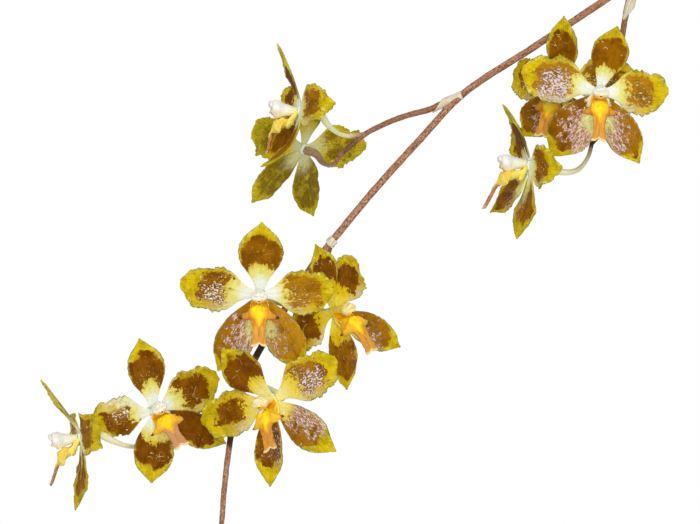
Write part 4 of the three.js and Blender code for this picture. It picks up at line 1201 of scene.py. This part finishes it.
def make_stem():
    shape = Shape()

    def speck(along, angle):
        return 0.03 * wander(along * 2.1, 1) + 0.02 * np.sin(3 * angle + along)

    def ribs(along, angle):
        return 0.05 * np.sin(6 * angle)

    tube(shape, [*PEDUNCLE, *RACHIS], STEM_RADII, sides=16, steps=620, relief=speck, tone=(0, 0))
    for points in BRANCHES:
        tube(shape, points, BRANCH_RADII, sides=12, steps=60, relief=speck, tone=(0, 0.7))
    for bloom in blooms:
        facing = np.array(bloom_turn(bloom) @ Vector((0, 0, 1)))
        back = seen(*bloom["at"]) + facing * (HUB["back"] + 0.2)
        points = [*bloom["stalk"], back - facing * OVARY["straight"], back]
        radii = [0.5, 0.48, 0.5, 0.62, 0.85, OVARY["radius"]]
        tube(shape, points, radii, sides=14, steps=40, relief=ribs, tone=(bloom["stalk_pale"], 0.2))
    for start, base, _ in BUDS:
        points = [start, start + 0.55 * (base - start), base]
        tube(shape, points, [0.45, 0.45, 0.5], sides=10, steps=16, tone=(0.8, 0))
    dressed(shape.build("stem_and_stalks", "stem"), "stem", "flower_stem")


def make_bracts():
    """Papery sheaths that wrap the stem at its joints and end in a point."""
    shape = Shape()
    rows, columns = 23, 25
    t = np.linspace(0, 1, rows)[:, None]
    s = np.linspace(-1, 1, columns)[None, :]
    for k, (radius, points) in enumerate(BRACTS):
        centres, along = route(points, rows - 1)
        angle = s * (math.pi * (0.97 - 0.75 * rise(0.45, 1, t))) + 1.2 * k
        uneven = 0.05 * np.sin(9 * s + 2 * k)
        layers = [
            wrapped(centres, radius * (0.95 + 0.1 * t) + lift + uneven, angle) for lift in (0.12, 0)
        ]
        closed_sheet(shape, *layers, t, s, (t * along[-1], s * 3.5, k))
    dressed(shape.build("bracts", "bract"), "stem")


def make_buds():
    def seams(along, angle):
        return -0.16 * np.abs(np.cos(1.5 * angle)) ** 12

    radii = [BUD_WIDTH / 2 * share for share in (0.3, 0.66, 0.9, 1.0, 0.97, 0.82, 0.55, 0.1)]
    for k, (_, base, tip) in enumerate(BUDS, 1):
        shape = Shape()
        tube(shape, [base, (base + tip) / 2, tip], radii, sides=24, steps=30, relief=seams)
        dressed(shape.build(f"bud_skin_{k}", "bud"), "bud", f"bud_{k}")


# Leaves, pseudobulbs and roots

def bulb_turn(bulb):
    return about("Z", bulb["turn"]) @ about("Y", bulb["lean"])


def leaf_foot(bulb, side):
    seat = Vector((LEAF_SEAT["side"] * side, 0, bulb["height"] + LEAF_SEAT["lift"] - LEAF_SEAT["deeper"]))
    return np.array(bulb_turn(bulb) @ seat) + bulb["at"]


def make_leaf(kind, number, leaf, foot, seed):
    shape = Shape()
    turn = about("Z", leaf["heading"])
    blade_sheet(
        shape, {**PLAIN_LEAF, **leaf}, lambda points: turned(points, turn, foot), seed * 1.3,
        rows=120, columns=21, thickness=LEAF_THICKNESS,
    )
    dressed(shape.build(f"{kind}_blade_{number}", "leaf"), "leaf", f"{kind}_{number}")


def make_bulbs():
    """Ribbed, a little flattened, and closed above by a small dome between the leaves' feet."""
    rows, crown, sides = 60, 8, 96
    share = np.concatenate([np.linspace(0, 1, rows), np.ones(crown)])[:, None]
    dome = np.concatenate([np.zeros(rows), np.linspace(0, 0.92, crown + 1)[1:] * math.pi / 2])[:, None]
    size = smooth_at(BULB_PROFILE, share) * np.cos(dome)
    angle = circle(sides)
    for k, bulb in enumerate(BULBS):
        rib = (0.5 + 0.5 * np.cos(13 * angle + 0.6 * np.sin(2 * angle + k))) ** 2
        ribs = 1 - (0.05 + 0.02 * k) * rib * np.sin(math.pi * np.clip(share * 1.05, 0, 1))
        x = np.cos(angle) * size * bulb["width"] / 2 * ribs
        y = np.sin(angle) * size * bulb["depth"] / 2 * ribs
        z = share * bulb["height"] + BULB_DOME * np.sin(dome)
        skin = turned(stacked(x, y, z), bulb_turn(bulb), bulb["at"])
        shape = Shape()
        shape.add(skin, ring_faces(rows + crown, sides), run=stacked(share * bulb["height"], angle, share))
        dressed(shape.build(f"skin_of_{bulb['name']}", "bulb"), "bulb", bulb["name"])


def make_dry_sheaths():
    """Old papery leaf bases that still clasp the pseudobulbs, torn along their tops."""
    shape = Shape()
    t = np.linspace(0, 1, 30)[:, None]
    s = np.linspace(-1, 1, 41)[None, :]
    for k, (number, heading, spread, height) in enumerate(DRY_SHEATHS):
        bulb = BULBS[number]
        torn = 1 - 0.5 * np.abs(s) ** 1.3 - 0.1 * np.abs(wander(9 * s, k)) - 0.05 * np.abs(wander(31 * s, k))
        share = 0.015 + t * height * torn
        size = smooth_at(BULB_PROFILE, share)
        angle = math.radians(heading) + s * math.radians(spread) * (1 - 0.25 * t**2)
        layers = []
        for lift in (0.75, 0.45):
            out = lift + 1.1 * t**4 + 0.12 * wander(14 * s + 2 * t, k)
            x = np.cos(angle) * (size * bulb["width"] / 2 + out)
            y = np.sin(angle) * (size * bulb["depth"] / 2 + out)
            layer = turned(stacked(x, y, share * bulb["height"]), bulb_turn(bulb), bulb["at"])
            layers.append(layer[:, ::-1])
        closed_sheet(shape, *layers, t, s, (t * 22, s * 11, k * 3.3))
    dressed(shape.build("dry_sheaths", "dry_sheath"), "bulb")


def make_roots():
    shape = Shape()

    def knots(along, angle):
        return 0.35 * np.abs(np.sin(along * 0.42)) ** 8 + 0.1 * wander(along, 2)

    tube(shape, RHIZOME, [2.2, 2.6, 2.4, 2.0], sides=20, steps=90, relief=knots)
    for k, points in enumerate(ROOTS):
        def lumps(along, angle, seed=k):
            return 0.12 * wander(along * 0.6, seed) + 0.05 * np.sin(5 * angle + along)

        tube(shape, points, [1.4, 1.3, 1.1], sides=16, steps=70, relief=lumps)
    dressed(shape.build("rhizome_and_root_skin", "root"), "root", "rhizome_and_roots")


# Pot and bark

def make_pot():
    foot, shoulder, rim, height, collar, wall, floor, bevel = POT.values()
    bottom = height - collar
    corners = [
        (0, 0), (foot - bevel, 0), (foot, bevel), (shoulder, bottom), (rim - bevel, bottom),
        (rim, bottom + bevel), (rim, height - bevel), (rim - bevel, height), (rim - wall + bevel, height),
        (rim - wall, height - bevel), (shoulder - wall, bottom - wall), (foot - wall + 0.8, floor),
        (0, floor),
    ]
    profile = []
    for (x0, z0), (x1, z1) in zip(corners, corners[1:]):
        steps = max(int(math.hypot(x1 - x0, z1 - z0) / 2.4), 1)
        profile += [(x0 + (x1 - x0) * f / steps, z0 + (z1 - z0) * f / steps) for f in range(steps)]
    out, up = (column[:, None] for column in np.array(profile[1:]).T)
    sides = 144
    angle = circle(sides)
    uneven = 0.12 * np.sin(2 * angle + 0.4) + 0.05 * wander(3 * angle, 4)
    rings = 0.07 * np.sin(up * 1.15) * (out > 30)
    radius = out + (uneven + rings) * np.clip(out / foot, 0, 1) * (up > 0.5)
    shape = Shape()
    shape.add(stacked(radius * np.cos(angle), radius * np.sin(angle), up), ring_faces(len(out), sides))
    piece = shape.build("clay_pot", "clay")
    for k in range(DRAIN["count"]):
        turn = TURN * k / DRAIN["count"] + math.pi / 2
        x, y = DRAIN["circle"] * math.cos(turn), DRAIN["circle"] * math.sin(turn)
        bpy.ops.mesh.primitive_cylinder_add(
            vertices=40, radius=DRAIN["radius"] * MM, depth=4 * floor * MM,
            location=(x * MM, y * MM, floor / 2 * MM),
        )
        drill = bpy.context.object
        hole = piece.modifiers.new(f"drain_{k}", "BOOLEAN")
        hole.operation, hole.object, hole.solver = "DIFFERENCE", drill, "EXACT"
        bpy.context.view_layer.objects.active = piece
        bpy.ops.object.modifier_apply(modifier=hole.name)
        bpy.data.objects.remove(drill)
    dressed(piece, "clay", "pot")


def chip_points(size, seed):
    """A split piece of bark: a flat block with worn corners and an uneven skin."""
    n = 5
    line = np.linspace(-1, 1, n)
    a, b = np.meshgrid(line, line, indexing="ij")
    face = grid_faces(n, n)
    points, faces = [], []
    for axis in range(3):
        for side in (-1, 1):
            block = np.zeros((n, n, 3))
            block[..., axis] = side
            block[..., (axis + 1) % 3] = a
            block[..., (axis + 2) % 3] = b
            faces.append((face if side > 0 else face[:, ::-1]) + len(points) * n * n)
            points.append(block.reshape(-1, 3))
    cube = np.concatenate(points)
    x, y, z = cube.T
    bumps = 1 + 0.14 * np.sin(3.1 * x + seed) * np.cos(2.3 * y + 2 * seed)
    bumps = bumps + 0.08 * np.sin(5.3 * z + 4.1 * x + seed)
    local = (cube * 0.72 + unit(cube) * 0.42) * bumps[:, None] * np.array(size) / 2
    local[:, 2] += 0.1 * size[1] * (y**2 - 0.4) * math.sin(seed)
    return local, faces


def make_bark():
    shape = Shape()
    inner = POT["rim"] - POT["wall"] - 1.2
    random = np.random.default_rng(11)
    angle = circle(72)
    radii = np.array([0.01, 15, 25, 33, 39, 42.5, 42.0, 39.8, 32, 30, 0.01])[:, None]
    heights = np.array([72.5, 72.6, 72.8, 72.6, 72.4, 72, 70, 63, 8, 6.4, 6.4])[:, None]
    waves = 0.5 * np.sin(5 * angle) * (heights > 71)
    bed = stacked(radii * np.cos(angle), radii * np.sin(angle), heights + waves)
    shape.add(bed, [grid_faces(len(radii), 72, around=True)], grain=bed, chip=(0.1, 0, 0))
    chips = 560
    for k in range(chips):
        radius = inner * math.sqrt((k + 0.5) / chips)
        turn = k * GOLDEN_TURN
        x, y = radius * math.cos(turn), radius * math.sin(turn)
        size = random.uniform(4.5, 10.5), random.uniform(3, 6), random.uniform(1.6, 3.4)
        tilt_x, tilt_y, spin = random.uniform(-28, 28), random.uniform(-24, 24), random.uniform(0, 360)
        level, tone, pick = random.uniform(-1.6, 1.1), random.uniform(0, 1), random.uniform(0, 1)
        room = min(math.hypot((x - bulb["at"][0]) / 1.15, (y - bulb["at"][1]) * 1.3) for bulb in BULBS) - 10.5
        if room < 0 or radius + size[0] / 2 > inner + 1.5:
            continue
        stone = pick > 0.93
        local, faces = chip_points((3.2, 2.8, 2.4) if stone else size, 1.7 * k)
        spun = about("Z", spin) @ about("Y", tilt_y) @ about("X", tilt_x)
        at = (x, y, BARK_TOP + level + 1.2 * bell(room, 9))
        shape.add(turned(local, spun, at), faces, grain=local, chip=(tone, stone, k * 0.13))
    dressed(shape.build("bark_chips", "bark"), "bark", "bark_mix")


# Making everything

blooms = [{**PLAIN_BLOOM, "name": f"bloom_{number:02}", **bloom} for number, bloom in enumerate(BLOOMS, 1)]
for number, bloom in enumerate(blooms):
    make_bloom(bloom, number)
make_stem()
make_bracts()
make_buds()
for number, leaf in enumerate(LEAVES):
    make_leaf("leaf", number + 1, leaf, leaf_foot(BULBS[leaf["bulb"]], leaf["side"]), number)
for number, leaf in enumerate(SHEATH_LEAVES):
    make_leaf("sheath_leaf", number + 1, leaf, leaf["at"], number + 10)
make_bulbs()
make_dry_sheaths()
make_roots()
make_pot()
make_bark()


# Camera, light and stage

def make_camera():
    data = bpy.data.cameras.new("camera")
    data.sensor_width = 36
    data.lens = data.sensor_width * VIEW["distance"] / (PHOTO_WIDTH * VIEW["mm_per_pixel"])
    data.clip_start, data.clip_end = 0.01, 30
    camera = added("camera", data)
    x, _, z = seen(*VIEW["middle"])
    camera.location = (x * MM, -VIEW["distance"] * MM, z * MM)
    camera.rotation_euler = (math.radians(90), 0, 0)
    bpy.context.scene.camera = camera


def make_light(name, at, aim, size, power):
    data = bpy.data.lights.new(name, "AREA")
    data.shape, data.size, data.energy = "DISK", size, power
    lamp = added(name, data)
    lamp.location = at
    lamp.rotation_euler = (Vector(aim) - Vector(at)).to_track_quat("-Z", "Y").to_euler()
    lamp.visible_camera = False


def make_world():
    """White behind the object, and a dimmer, even light from all round."""
    world = bpy.data.worlds.new("studio")
    world.use_nodes = True
    tree = world.node_tree
    background = tree.nodes["Background"]
    background.inputs["Color"].default_value = (1, 1, 1, 1)
    ray = tree.nodes.new("ShaderNodeLightPath")
    strength = tree.nodes.new("ShaderNodeMapRange")
    strength.inputs["To Min"].default_value = 0.55
    strength.inputs["To Max"].default_value = 1.0
    tree.links.new(ray.outputs["Is Camera Ray"], strength.inputs["Value"])
    tree.links.new(strength.outputs[0], background.inputs["Strength"])
    bpy.context.scene.world = world


def make_floor():
    """A pale floor that grows white like the background towards its edge."""
    edge = 2.2
    mesh = bpy.data.meshes.new("floor")
    corners = [(-edge, -edge, 0), (edge, -edge, 0), (edge, edge, 0), (-edge, edge, 0)]
    mesh.from_pydata(corners, [], [(0, 1, 2, 3)])
    look = Surface(
        "floor", roughness=0.9, specular=0.1, Base_Color=(0.86, 0.86, 0.86, 1), Emission_Color=(1, 1, 1, 1),
    )
    x, y, _ = look.split(look.where())
    seen_directly = look.node("ShaderNodeLightPath", output="Is Camera Ray")
    look.set(Emission_Strength=look.math("SQRT", x * x + y * y).rise(0.4, 1.8) * seen_directly)
    mesh.materials.append(look.material)
    added("floor", mesh)


SPRAY = (-0.17, 0, 0.3)
make_camera()
make_light("key", (-0.3, -0.95, 0.8), SPRAY, 0.3, 3.4)
make_light("front", (-0.17, -1.45, 0.36), SPRAY, 0.4, 4.4)
make_light("fill", (0.9, -0.9, 0.5), SPRAY, 0.8, 2.4)
make_light("back", (0.2, 1.2, 0.9), (0, 0, 0.2), 0.9, 4)
make_world()
make_floor()
bpy.context.scene.view_settings.view_transform = "Standard"
